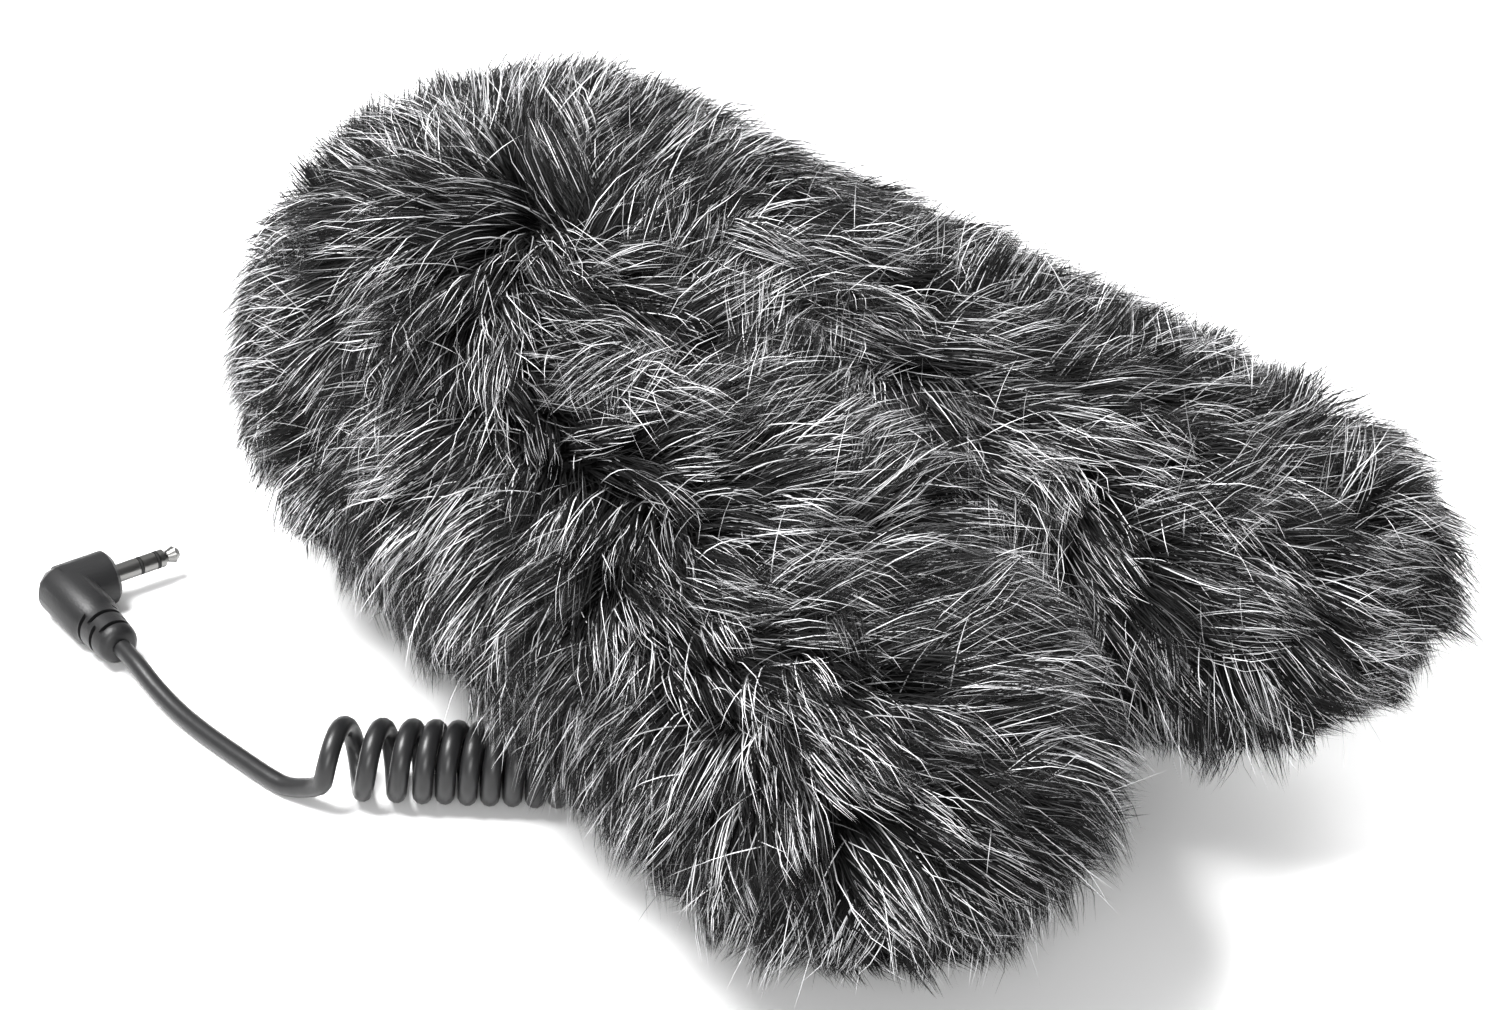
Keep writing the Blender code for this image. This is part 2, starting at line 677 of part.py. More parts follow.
def make_upper_shell(parent):
    middle = ARM_CROSSING.z
    posts = make_posts("boss", middle - 6, HOUSING_TOP_Z - 14)
    shell = shell_half("housing_upper", middle + GAP / 2, HOUSING_TOP_Z + 5, parent, posts)
    pilot_top = HOUSING_BOTTOM_Z + SCREW_LENGTH + 2.5
    pilot = SCREW_DIAMETER + 2 * GAP
    holes = [rod((x, y, 20), (x, y, pilot_top), pilot, 12) for x, y in screw_places()]
    cut(shell, helper("screw_pilots", joined(*holes)))
    half_x, half_z = (KNOB.x + SWITCH_TRAVEL) / 2 + SLOT_GAP, KNOB.z / 2 + SLOT_GAP
    slots = []
    for x in (-SWITCH_X, SWITCH_X):
        low = (x - half_x, rear_y(x) - 6, SWITCH_Z - half_z)
        high = (x + half_x, rear_y(x) + 6, SWITCH_Z + half_z)
        slots.append(block(low, high))
    rear = rear_y(0)
    light = rod((0, rear - 6, SWITCH_Z), (0, rear + 6, SWITCH_Z), LIGHT_PIPE_DIAMETER + 2 * GAP, 16)
    cut(shell, helper("rear_holes", joined(*slots, light)))


def hinge_rod(half_length, diameter):
    return rod((-half_length, HINGE_Y, HINGE_Z), (half_length, HINGE_Y, HINGE_Z), diameter, 16)


def make_lower_shell(parent):
    middle = ARM_CROSSING.z
    posts = make_posts("pillar", HOUSING_BOTTOM_Z + 0.5, middle + 6)
    lug_x = HINGE_BARREL_LENGTH / 2 + 0.5
    lug_low, lug_high = HOUSING_BOTTOM_Z + 0.4, HINGE_Z + 2.4
    for side in (-1, 1):
        xs = sorted((side * lug_x, side * (lug_x + HINGE_LUG_THICKNESS)))
        lug = block((xs[0], HINGE_Y - 2.2, lug_low), (xs[1], DOOR_OPENING_REAR_Y + 1, lug_high))
        posts.append(helper(f"hinge_lug_{side}", lug))
    shell = shell_half("housing_lower", HOUSING_BOTTOM_Z - 5, middle - GAP / 2, parent, posts)
    floor_low, floor_high = HOUSING_BOTTOM_Z - 4, HOUSING_BOTTOM_Z + HOUSING_WALL + 0.2
    half = DOOR_HALF_WIDTH + DOOR_EDGE_GAP
    plate_rear = HINGE_Y - DOOR_PLATE_SHORT + DOOR_SWING_GAP
    plate = block((-half, DOOR_FRONT_Y - DOOR_EDGE_GAP, floor_low), (half, plate_rear, floor_high))
    barrel_top = HINGE_Z + HINGE_BARREL_DIAMETER / 2 + DOOR_EDGE_GAP
    slot = block((-lug_x, HINGE_Y - 4, floor_low), (lug_x, DOOR_OPENING_REAR_Y, barrel_top))
    cut(shell, helper("door_opening", plate), helper("door_opening_rear", slot))
    pin_half = HINGE_BARREL_LENGTH / 2 + HINGE_LUG_THICKNESS + 3
    cut(shell, helper("hinge_bore", hinge_rod(pin_half, HINGE_BORE)))
    holes = []
    head_top = HOUSING_BOTTOM_Z + 0.6 + SCREW_HEAD_HEIGHT
    for x, y in screw_places():
        holes.append(rod((x, y, 20), (x, y, 60), SCREW_DIAMETER + 2 * GAP, 12))
        holes.append(rod((x, y, 20), (x, y, head_top), SCREW_HEAD_DIAMETER + 2 * GAP, 16))
    for hole_number, hole in enumerate(holes):
        cut(shell, helper(f"screw_hole_{hole_number}", hole))


def make_screws(parent):
    head, shank, head_top = SCREW_HEAD_DIAMETER / 2, SCREW_DIAMETER / 2, SCREW_HEAD_HEIGHT - GAP
    profile = [(0, 0), (head, 0), (head, head_top), (shank, head_top), (shank, SCREW_LENGTH), (0, SCREW_LENGTH)]
    for number, (x, y) in enumerate(screw_places(), 1):
        low = HOUSING_BOTTOM_Z + 0.6
        screw = turned(profile, 12, Matrix.Translation((x, y, low)))
        finish(f"housing_screw_{number}", screw, "steel", parent)


def make_battery_bay(parent, door_parent):
    half = DOOR_HALF_WIDTH
    rear = HINGE_Y - DOOR_PLATE_SHORT
    low, high = HOUSING_BOTTOM_Z, HOUSING_BOTTOM_Z + DOOR_THICKNESS
    door = finish("battery_door", block((-half, DOOR_FRONT_Y, low), (half, rear, high)), "housing", None)
    barrel_half = HINGE_BARREL_LENGTH / 2
    leaf = helper("door_leaf", block((-barrel_half, rear - 1, low), (barrel_half, DOOR_REAR_Y, high)))
    barrel = helper("door_barrel", hinge_rod(barrel_half, HINGE_BARREL_DIAMETER))
    cut(door, leaf, barrel, operation="UNION")
    cut(door, helper("door_bore", hinge_rod(half, HINGE_BORE)))
    door.data.transform(Matrix.Translation((0, -HINGE_Y * MM, -HINGE_Z * MM)))
    door.parent = door_parent
    pin_half = barrel_half + HINGE_LUG_THICKNESS - 0.5
    finish("door_hinge_pin", hinge_rod(pin_half, HINGE_PIN_DIAMETER), "steel", parent)
    end, radius, button = BATTERY_LENGTH / 2, BATTERY_DIAMETER / 2, 1.9
    can = BATTERY_LENGTH - 1
    profile = [(0, 0), (radius, 0), (radius, can), (button, can), (button, BATTERY_LENGTH), (0, BATTERY_LENGTH)]
    for name, y, ahead in (("battery_front", BATTERY_Y[0], 1), ("battery_rear", BATTERY_Y[1], -1)):
        place = frame_at((-ahead * end, y, BATTERY_Z), (ahead, 0, 0))
        finish(name, turned(profile, 24, place), "battery", parent)
    for name, side in (("contact_left", -1), ("contact_right", 1)):
        inner = side * (end + GAP)
        xs = sorted((inner, inner + side * 0.5))
        near, far = BATTERY_Y[0] - 4, BATTERY_Y[1] + 4
        plate = block((xs[0], near, BATTERY_Z - 4.5), (xs[1], far, BATTERY_Z + 4.5))
        finish(name, plate, "steel", parent, smooth=False)


def make_electronics(parent):
    low, high = BOARD_Z, BOARD_Z + BOARD_THICKNESS
    middle, half_length = (BOARD_REAR_Y + BOARD_FRONT_Y) / 2, (BOARD_REAR_Y - BOARD_FRONT_Y) / 2
    board = superellipse(BOARD_HALF_WIDTH, half_length, 5, 24, (0, middle))
    circuit = finish("circuit_board", prism(board, low, high), "board", parent, smooth=False)
    base = high - 0.4
    # each raised part's middle, its two sides and its height
    sizes = (
        (-10, 40, 9, 9, 1.6), (8, 42, 6, 5, 1.4), (-6, 22, 5, 8, 2.2), (9, 24, 7, 7, 3), (0, 10, 12, 4, 2.4),
    )
    chips = []
    for x, y, wide, deep, tall in sizes:
        low, high = (x - wide / 2, y - deep / 2, base), (x + wide / 2, y + deep / 2, base + tall)
        chips.append(block(low, high))
    cut(circuit, helper("board_chips", joined(*chips)), operation="UNION")
    half = KNOB / 2
    for name, x in (("power_switch", -SWITCH_X), ("level_switch", SWITCH_X)):
        face = rear_y(x) - SWITCH_SINK
        low, high = SWITCH_Z - half.z - FLANGE_LIP, SWITCH_Z + half.z + FLANGE_LIP
        body = block((x - SWITCH_HALF_WIDTH, face - SWITCH_DEPTH, low), (x + SWITCH_HALF_WIDTH, face, high))
        finish(name + "_body", body, "steel", parent, smooth=False)
        at_rest = x - math.copysign(SWITCH_TRAVEL / 2, x)
        near, far = at_rest - half.x, at_rest + half.x
        start = face + GAP
        knob = block((near, start, SWITCH_Z - half.z), (far, rear_y(at_rest) + KNOB_PROUD, SWITCH_Z + half.z))
        thumb = finish(name + "_knob", knob, "housing", parent, smooth=False)
        flange = block((near - FLANGE_LIP, start, low), (far + FLANGE_LIP, start + FLANGE_THICKNESS, high))
        cut(thumb, helper(name + "_flange", flange), operation="UNION")
    light = rod((0, rear_y(0) - 9, SWITCH_Z), (0, rear_y(0) + 0.3, SWITCH_Z), LIGHT_PIPE_DIAMETER, 16)
    finish("status_light_pipe", light, "light", parent)


def make_arm(side, word, parent):
    basket = finish(f"{word}_arm_basket", arm_oval(side, ARM_START, ARM_END, 0, 8), "mesh", parent)
    cut(basket, helper(f"{word}_basket_space", arm_oval(side, ARM_START - 4, ARM_END - ARM_WALL, -ARM_WALL, 8)))
    half = TUBE_DIAMETER / 2
    start, end = CAPSULE_AT + CAPSULE_LENGTH + GAP, ARM_END - TUBE_END_GAP
    length = end - start
    wall = [(half - TUBE_WALL, 0), (half, 0), (half, length), (half - TUBE_WALL, length)]
    pipe = finish(f"{word}_interference_tube", turned(wall, 24, arm_frame(side, start)), "tube", parent)
    slots = []
    for k in range(TUBE_SLOTS):
        at = start + 10 + k * (length - 20) / (TUBE_SLOTS - 1)
        slot = block((-half - 2, -2, -TUBE_SLOT_WIDTH / 2), (half + 2, 2, TUBE_SLOT_WIDTH / 2))
        slot.transform(arm_frame(side, at))
        slots.append(slot)
    cut(pipe, helper(f"{word}_tube_slots", joined(*slots)))
    capsule = [(0, 0), (CAPSULE_DIAMETER / 2, 0), (CAPSULE_DIAMETER / 2, CAPSULE_LENGTH), (0, CAPSULE_LENGTH)]
    finish(f"{word}_capsule", turned(capsule, 24, arm_frame(side, CAPSULE_AT)), "tube", parent)
    ring_inner = CAPSULE_DIAMETER / 2 + GAP
    ring_outer, ring_end = half + 0.7, CAPSULE_LENGTH - 1
    cradle = [(ring_inner, 1), (ring_outer, 1), (ring_outer, ring_end), (ring_inner, ring_end)]
    finish(f"{word}_capsule_cradle", turned(cradle, 24, arm_frame(side, CAPSULE_AT)), "rubber", parent)
    outer = ARM_HALF_HEIGHT - ARM_WALL - GAP
    bush = [(half + GAP, 0), (outer, 0), (outer, SUPPORT_LENGTH), (half + GAP, SUPPORT_LENGTH)]
    finish(f"{word}_tube_support", turned(bush, 24, arm_frame(side, end - 8)), "rubber", parent)


# ---------------------------------------------------------------- shock mount and foot
def rounded_outline(half_x, half_y, corner, steps=5):
    points = []
    for cx, cy, start in ((1, 1, 0), (-1, 1, 90), (-1, -1, 180), (1, -1, 270)):
        for k in range(steps + 1):
            a = math.radians(start + 90 * k / steps)
            x = cx * (half_x - corner) + corner * math.cos(a)
            y = cy * (half_y - corner) + corner * math.sin(a)
            points.append((x, y))
    return points


def make_mount():
    plan = rounded_outline(FOOT_SIDE_X / 2, FOOT_SIDE_Y / 2, 1, 2)
    foot = finish("shoe_foot", prism(plan, 0, FOOT_THICKNESS), "steel")
    stem_top = BASE_BOTTOM_Z + STEM_SEAT_DEPTH
    cut(foot, helper("stem", rod((0, 0, 0.5), (0, 0, stem_top), STEM_DIAMETER, 24)), operation="UNION")
    plan = rounded_outline(BASE_HALF_WIDTH, BASE_HALF_LENGTH, BASE_CORNER)
    base = finish("mount_base", prism(plan, BASE_BOTTOM_Z, BASE_TOP_Z), "housing")
    seat = rod((0, 0, BASE_BOTTOM_Z - 2), (0, 0, stem_top + GAP), STEM_DIAMETER + 2 * GAP, 24)
    cut(base, helper("stem_seat", seat))
    middle = (BASE_TOP_Z + HOUSING_BOTTOM_Z) / 2
    half_height = (HOUSING_BOTTOM_Z - BASE_TOP_Z) / 2 - GAP
    for name, y in (("isolator_front", -ISOLATOR_Y), ("isolator_rear", ISOLATOR_Y)):
        rings = []
        for x in (-ISOLATOR_HALF_WIDTH, ISOLATOR_HALF_WIDTH):
            oval = superellipse(ISOLATOR_HALF_LENGTH, half_height, 2.6, 24, (y, middle))
            rings.append([(x, a, b) for a, b in oval])
        ring = finish(name, loft(rings), "rubber")
        hole = []
        inner_length, inner_height = ISOLATOR_HALF_LENGTH - ISOLATOR_WALL, half_height - ISOLATOR_WALL
        for x in (-ISOLATOR_HALF_WIDTH - 1, ISOLATOR_HALF_WIDTH + 1):
            oval = superellipse(inner_length, inner_height, 2.6, 24, (y, middle))
            hole.append([(x, a, b) for a, b in oval])
        cut(ring, helper(name + "_hole", loft(hole)))
    low, high = BASE_TOP_Z + GAP + 0.2, HOUSING_BOTTOM_Z - GAP - 0.2
    middle = (low + high) / 2
    slack = 5
    route = (
        (3, 0, low), (3.1, 0, low + 1), (slack + 3, 1, middle - 1),
        (slack + 3, -1, middle + 1), (3.1, 0, high - 1), (3, 0, high),
    )
    tube("signal_lead", smooth_route(route, 1.6), SIGNAL_LEAD_DIAMETER, "cord")


def make_lock_wheel(parent):
    outline = []
    for k in range(2 * WHEEL_NOTCHES):
        a = math.pi * (k + 0.5) / WHEEL_NOTCHES
        r = WHEEL_DIAMETER / 2 - (NOTCH_DEPTH if k % 4 > 1 else 0)
        outline.append((r * math.cos(a), r * math.sin(a)))
    wheel = finish("lock_wheel", prism(outline, WHEEL_Z, WHEEL_Z + WHEEL_THICKNESS), "housing", None)
    cut(wheel, helper("wheel_bore", rod((0, 0, 0), (0, 0, 20), STEM_DIAMETER + 2 * GAP, 24)))
    wheel.parent = parent
    top = WHEEL_Z - GAP
    inner = STEM_DIAMETER / 2 + GAP
    outer, bottom = WASHER_DIAMETER / 2, top - WASHER_THICKNESS
    ring = [(inner, bottom), (outer, bottom), (outer, top), (inner, top)]
    finish("wheel_washer", turned(ring, 32), "steel", parent)


# ---------------------------------------------------------------- assembly
def pivot(name, place):
    made = bpy.data.objects.new(name, None)
    made.location = Vector(place) * MM
    bpy.context.collection.objects.link(made)
    return made


for old in list(bpy.data.objects):
    bpy.data.objects.remove(old)
MATERIALS = make_materials()
jacket = pivot("jacket", (0, 0, 0))
microphone = pivot("microphone", (0, 0, 0))
door_pivot = pivot("door_pivot", (0, HINGE_Y, HINGE_Z))
wheel_pivot = pivot("wheel_pivot", (0, 0, 0))
make_fur_panels(jacket)
make_lining(jacket)
make_hem(jacket)
make_upper_shell(microphone)
make_lower_shell(microphone)
make_screws(microphone)
make_battery_bay(microphone, door_pivot)
make_electronics(microphone)
make_arm(-1, "left", microphone)
make_arm(1, "right", microphone)
make_mount()
make_lock_wheel(wheel_pivot)
make_cable()
make_plug()
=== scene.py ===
# %% [markdown]
# # Furry windscreen
# The looks of a two-lobed fur windscreen on its stereo camera microphone. The frame gives the
# microphone, its mount and the plug; this file adds the pile, the coiled cable and every material.
# Sizes are in millimetres until they are scaled to metres at the end of each build step.

# %% Load the frame
import json
import math

import bmesh
import bpy
import numpy as np
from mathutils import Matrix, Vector, kdtree, noise


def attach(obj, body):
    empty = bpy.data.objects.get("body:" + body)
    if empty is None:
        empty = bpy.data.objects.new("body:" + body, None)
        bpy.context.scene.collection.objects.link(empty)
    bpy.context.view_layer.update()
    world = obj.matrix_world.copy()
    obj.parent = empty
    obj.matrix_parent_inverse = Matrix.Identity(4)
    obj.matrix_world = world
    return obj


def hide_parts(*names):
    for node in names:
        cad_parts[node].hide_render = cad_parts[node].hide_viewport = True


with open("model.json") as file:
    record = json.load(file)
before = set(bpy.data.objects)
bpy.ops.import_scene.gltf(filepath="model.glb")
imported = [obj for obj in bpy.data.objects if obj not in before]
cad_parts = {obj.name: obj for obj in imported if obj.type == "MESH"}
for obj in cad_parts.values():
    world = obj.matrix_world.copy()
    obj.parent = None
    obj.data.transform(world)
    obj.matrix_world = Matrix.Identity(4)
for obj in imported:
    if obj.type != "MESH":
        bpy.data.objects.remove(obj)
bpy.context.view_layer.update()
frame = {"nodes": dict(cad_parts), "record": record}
MM = 0.001
UP = Vector((0, 0, 1))
rng = np.random.default_rng(7)

# %% [markdown]
# ## Driving dimensions
# The cloth that carries the pile lies a pile's height inside the visible outline: an ellipsoid at the
# rear, drawn out to a flatter one at each lobe's tip. Half sizes are sideways, upwards and downwards.

# %% Dimensions
CLOTH_REAR = np.array((0.0, 38.0, 50.0))
CLOTH_REAR_HALF = np.array((47.0, 37.0, 40.0))
CLOTH_TIP = np.array((44.0, -88.0, 41.0))
CLOTH_TIP_HALF = np.array((31.0, 18.5, 22.0))
CLOTH_CORE = np.array((0.0, 0.0, 42.0))
CLOTH_HEM_Z = 20.6
CLOTH_AROUND, CLOTH_UP = 168, 44  # points around the cloth and rings up it
OUTLINE_STEPS = 30  # ellipsoids from the rear to a lobe's tip
LOWER_FULLNESS = 4
CLOTH_THICKNESS = 0.9
FLOOR_CLEARANCE = 0.7
FARTHEST = 250.0  # past any point of the cloth
HALVINGS, HEM_HALVINGS = 22, 16  # of a range in which an edge is looked for

HOUSING_HALF_WIDTH, HOUSING_HALF_LENGTH = 33, 40
HOUSING_CENTRE_Y, HOUSING_SQUARENESS = 30, 2.6
ARM_CROSSING_Y, ARM_ANGLE, ARM_END, ARM_HALF_WIDTH = 38, 19, 146, 17
ARM_HEIGHT = 42
GRILLE_PITCH = 3.6
GRILLE_START, GRILLE_END = 61.0, 136.5  # along an arm, from where the two arms cross
GRILLE_RIB = 1.2  # half the width of the ribs that the slots stop at
GRILLE_DEPTH = 0.6
MOUTH_MARGIN = 4.6  # from the microphone to the inner edge of the fur cloth
MOUTH_FARTHEST = 200.0

CORD_DIAMETER = 3.6
COIL_DIAMETER = 15.4
COIL_CENTRE = Vector((-59.5, -10.5, COIL_DIAMETER / 2))
COIL_HEADING = -48
COIL_TURNS = 14
COIL_TIGHT_PITCH = 4.0
COIL_LOOSE_TURNS = 3
COIL_STEPS = 36  # points in each turn
ROUTE_SPACING = 1.2
ROUTE_TRIM, COIL_TRIM = 5, 6  # points left out where a straight run turns into the coil
CORD_SINK = 0.01  # into the floor, where the cord lies on it
LEAD_ROUTE = (
    (-9, -35.3, 14), (-9, -41, 13.3), (-10, -46.5, 11.3), (-13.5, -51, 8.4), (-19, -53, 5.5),
    (-25, -50.2, 3.2), (-30.2, -44.2, 2), (-34.6, -38.6, 1.8), (-38.55, -33.75, 1.8),
)
TAIL_ROUTE = (
    (-82.7, 10.75, 1.9), (-84.6, 14.2, 1.8), (-85.3, 20, 1.8), (-85.2, 28, 1.8), (-84.9, 37, 1.8),
    (-84.3, 46, 2.1), (-83.4, 54, 3.2), (-82.3, 61, 4.7), (-81.26, 66.55, 5.2),
)

# %% [markdown]
# ## Shader maths
# A small wrapper lets a material be written as an expression: each operator adds a Math node.


# %% Socket wrapper
class Value:
    """A node socket that takes part in arithmetic."""

    def __init__(self, tree, socket):
        self.tree = tree
        self.socket = socket

    def node(self, kind, *inputs, output=0, **settings):
        """Adds any node, links or sets its inputs in order, and returns one of its outputs."""
        made = self.tree.nodes.new(kind)
        for name, value in settings.items():
            setattr(made, name, value)
        for slot, value in zip(made.inputs, inputs):
            if isinstance(value, Value):
                self.tree.links.new(value.socket, slot)
            elif value is not None:
                slot.default_value = value
        return Value(self.tree, made.outputs[output])

    def math(self, operation, *values):
        return self.node("ShaderNodeMath", *values, operation=operation)

    def __add__(self, other):
        return self.math("ADD", self, other)

    def __radd__(self, other):
        return self.math("ADD", other, self)

    def __sub__(self, other):
        return self.math("SUBTRACT", self, other)

    def __rsub__(self, other):
        return self.math("SUBTRACT", other, self)

    def __mul__(self, other):
        return self.math("MULTIPLY", self, other)

    def __pow__(self, other):
        return self.math("POWER", self, other)

    def step_to(self, low, high):
        """0 below low, 1 above high, and a straight line between."""
        made = self.node("ShaderNodeMapRange", self, low, high, 0.0, 1.0)
        return made


def new_material(name, colour, roughness, metallic=0.0, **more):
    """A Principled material, its shader, and a Value to start expressions from."""
    made = bpy.data.materials.new(name)
    made.use_nodes = True
    shader = made.node_tree.nodes["Principled BSDF"]
    shader.inputs["Base Color"].default_value = (*colour, 1)
    shader.inputs["Roughness"].default_value = roughness
    shader.inputs["Metallic"].default_value = metallic
    for key, value in more.items():
        shader.inputs[key.replace("_", " ")].default_value = value
    return made, shader, Value(made.node_tree, None)


def drive(shader, name, value):
    """Links an expression to one of the shader's inputs."""
    value.tree.links.new(value.socket, shader.inputs[name])


def coordinates(start):
    """Object coordinates, which stay with the piece as it moves."""
    return start.node("ShaderNodeTexCoord", output=3)


def add_grain(shader, start, scale, depth, strength=1.0):
    """A fine moulded texture as a bump, with its size in pieces per metre and its depth in metres."""
    texture = start.node("ShaderNodeTexNoise", coordinates(start), None, scale, 3.0)
    bump = start.tree.nodes.new("ShaderNodeBump")
    bump.inputs["Strength"].default_value = strength
    bump.inputs["Distance"].default_value = depth
    start.tree.links.new(texture.socket, bump.inputs["Height"])
    start.tree.links.new(bump.outputs["Normal"], shader.inputs["Normal"])
    return texture


def mixed(start, share, low, high):
    """A colour between two, by a share. A Mix node's colours are its seventh and eighth inputs."""
    unused = [None] * 5
    ends = ((*low, 1), (*high, 1))
    return start.node("ShaderNodeMix", share, *unused, *ends, output=2, data_type="RGBA")


# %% [markdown]
# ## Materials of the microphone, the mount and the plug
# Each slot of the frame gets a better material than the plain one it came with.


# %% Materials
ROUGHNESS_SPREAD = 0.12


def plain(name, colour, roughness, metallic=0.0, grain=None, **more):
    """A material of one colour, with a fine grain where a scale and a depth are given for it."""
    made, shader, start = new_material(name, colour, roughness, metallic, **more)
    if grain:
        scale, depth = grain
        texture = add_grain(shader, start, scale, depth)
        drive(shader, "Roughness", roughness + (texture - 0.5) * ROUGHNESS_SPREAD)
    return made


def arm_grille():
    """The arms' moulding: slots across each arm, with ribs along its sides, its top and its bottom. The
    slots carry painted shade: they are coloured near-black for the shade inside their openings.
    """
    made, shader, start = new_material("arm_grille", (0.011, 0.011, 0.0115), 0.5)
    shader.inputs["Specular IOR Level"].default_value = 0.35
    x = start.node("ShaderNodeSeparateXYZ", coordinates(start))
    y = Value(start.tree, x.socket.node.outputs[1])
    z = Value(start.tree, x.socket.node.outputs[2])
    a = math.radians(ARM_ANGLE)
    aside = start.math("ABSOLUTE", x)
    ahead = aside * math.sin(a) - (y - ARM_CROSSING_Y * MM) * math.cos(a)
    across = start.math("ABSOLUTE", aside * math.cos(a) + (y - ARM_CROSSING_Y * MM) * math.sin(a))
    wave = start.math("SINE", ahead * (2 * math.pi / (GRILLE_PITCH * MM)))
    level = start.math("ABSOLUTE", z - ARM_HEIGHT * MM)
    rib, rib_edge = GRILLE_RIB * MM, (GRILLE_RIB + 0.4) * MM
    open_here = wave.step_to(0.05, 0.35) * level.step_to(rib, rib_edge) * across.step_to(rib, rib_edge)
    past_end = ahead.step_to(GRILLE_END * MM, (GRILLE_END + 0.5) * MM)
    begun = ahead.step_to(GRILLE_START * MM, (GRILLE_START + 0.5) * MM)
    open_here = open_here * (1 - past_end) * begun
    # Painted shade: the slots are coloured near-black where the shade inside their openings would be, and
    # the bump presses them in.
    slot_painted_shade = mixed(start, open_here, (0.013, 0.013, 0.0135), (0.002, 0.002, 0.002))
    drive(shader, "Base Color", slot_painted_shade)
    bump = start.tree.nodes.new("ShaderNodeBump")
    bump.inputs["Distance"].default_value = GRILLE_DEPTH * MM
    bump.invert = True
    start.tree.links.new(open_here.socket, bump.inputs["Height"])
    start.tree.links.new(bump.outputs["Normal"], shader.inputs["Normal"])
    return made


MATERIALS = {
    "housing": plain(
        "housing_black", (0.011, 0.011, 0.0115), 0.48, grain=(2400, 0.00005), Specular_IOR_Level=0.35
    ),
    "mesh": arm_grille(),
    "tube": plain("tube_aluminium", (0.55, 0.55, 0.57), 0.3, 1.0, grain=(900, 0.00002)),
    "steel": plain("nickel_steel", (0.3, 0.296, 0.288), 0.34, 1.0, grain=(1500, 0.00001)),
    "rubber": plain(
        "rubber", (0.010, 0.010, 0.010), 0.6, grain=(1800, 0.00004), Specular_IOR_Level=0.3
    ),
    "board": plain("board_green", (0.012, 0.075, 0.03), 0.38, Coat_Weight=0.5),
    "battery": plain("battery_sleeve", (0.03, 0.032, 0.04), 0.32, Coat_Weight=0.4),
    "light": plain("light_pipe", (0.45, 0.03, 0.02), 0.15, Coat_Weight=1.0),
    "plug": plain(
        "plug_black", (0.010, 0.010, 0.0105), 0.42, grain=(2600, 0.00004), Specular_IOR_Level=0.32
    ),
    "contact": plain("plug_nickel", (0.2, 0.198, 0.193), 0.3, 1.0),
    "lining": plain("lining_cloth", (0.018, 0.018, 0.019), 0.9, grain=(2600, 0.0003)),
    "elastic": plain("hem_elastic", (0.012, 0.012, 0.012), 0.8, grain=(1600, 0.0002)),
    "cord": plain(
        "cord_black", (0.012, 0.012, 0.0125), 0.36, grain=(700, 0.00003), Specular_IOR_Level=0.38
    ),
}


def round_shading(mesh, sharpest=38.0):
    """Shades a faceted mesh as the curved surface it stands for, and leaves its points alone. Each
    corner takes the mean normal of the faces at its place that turn by less than the sharpest angle."""
    places = {}
    corners = np.array([v.co[:] for v in mesh.vertices])
    normals = np.array([f.normal[:] for f in mesh.polygons])
    weights = np.zeros(len(mesh.loops))
    owner = np.zeros(len(mesh.loops), int)
    for face in mesh.polygons:
        ring = [corners[i] for i in face.vertices]
        for k, loop in enumerate(face.loop_indices):
            before, after = ring[k - 1] - ring[k], ring[(k + 1) % len(ring)] - ring[k]
            size = np.linalg.norm(before) * np.linalg.norm(after)
            weights[loop] = math.acos(float(np.clip(before @ after / max(size, 1e-18), -1, 1)))
            owner[loop] = face.index
            key = tuple(np.round(ring[k] * 1e6).astype(int))
            places.setdefault(key, []).append(loop)
    least = math.cos(math.radians(sharpest))
    shaded = np.zeros((len(mesh.loops), 3))
    for loops in places.values():
        mine = normals[owner[loops]]
        near = (mine @ mine.T) > least
        shaded[loops] = (near * weights[loops]) @ mine
    lengths = np.maximum(np.linalg.norm(shaded, axis=1, keepdims=True), 1e-12)
    mesh.polygons.foreach_set("use_smooth", np.ones(len(mesh.polygons), bool))
    mesh.normals_split_custom_set((shaded / lengths).tolist())


slots = {entry["node"]: entry["material_slot"] for entry in frame["record"]["subparts"]}
for name, piece in frame["nodes"].items():
    if slots[name] in MATERIALS:
        piece.data.materials.clear()
        piece.data.materials.append(MATERIALS[slots[name]])
        round_shading(piece.data)

# %% [markdown]
# ## The cable
# One cord from the gland to the plug: the lead under the fur, the coil, and the tail to the plug.


# %% Cable
def eased_route(route, spacing):
    """Points on a Catmull-Rom curve through the route's own points."""
    held = [Vector(p) for p in route]
    held = [held[0] * 2 - held[1], *held, held[-1] * 2 - held[-2]]
    made = []
    for before, start, end, after in zip(held, held[1:], held[2:], held[3:]):
        steps = max(2, math.ceil((end - start).length / spacing))
        for k in range(steps):
            t = k / steps
            made.append(0.5 * (
                2 * start + (end - before) * t + (2 * before - 5 * start + 4 * end - after) * t**2
                + (3 * start - before - 3 * end + after) * t**3
            ))
    return [*made, held[-2]]


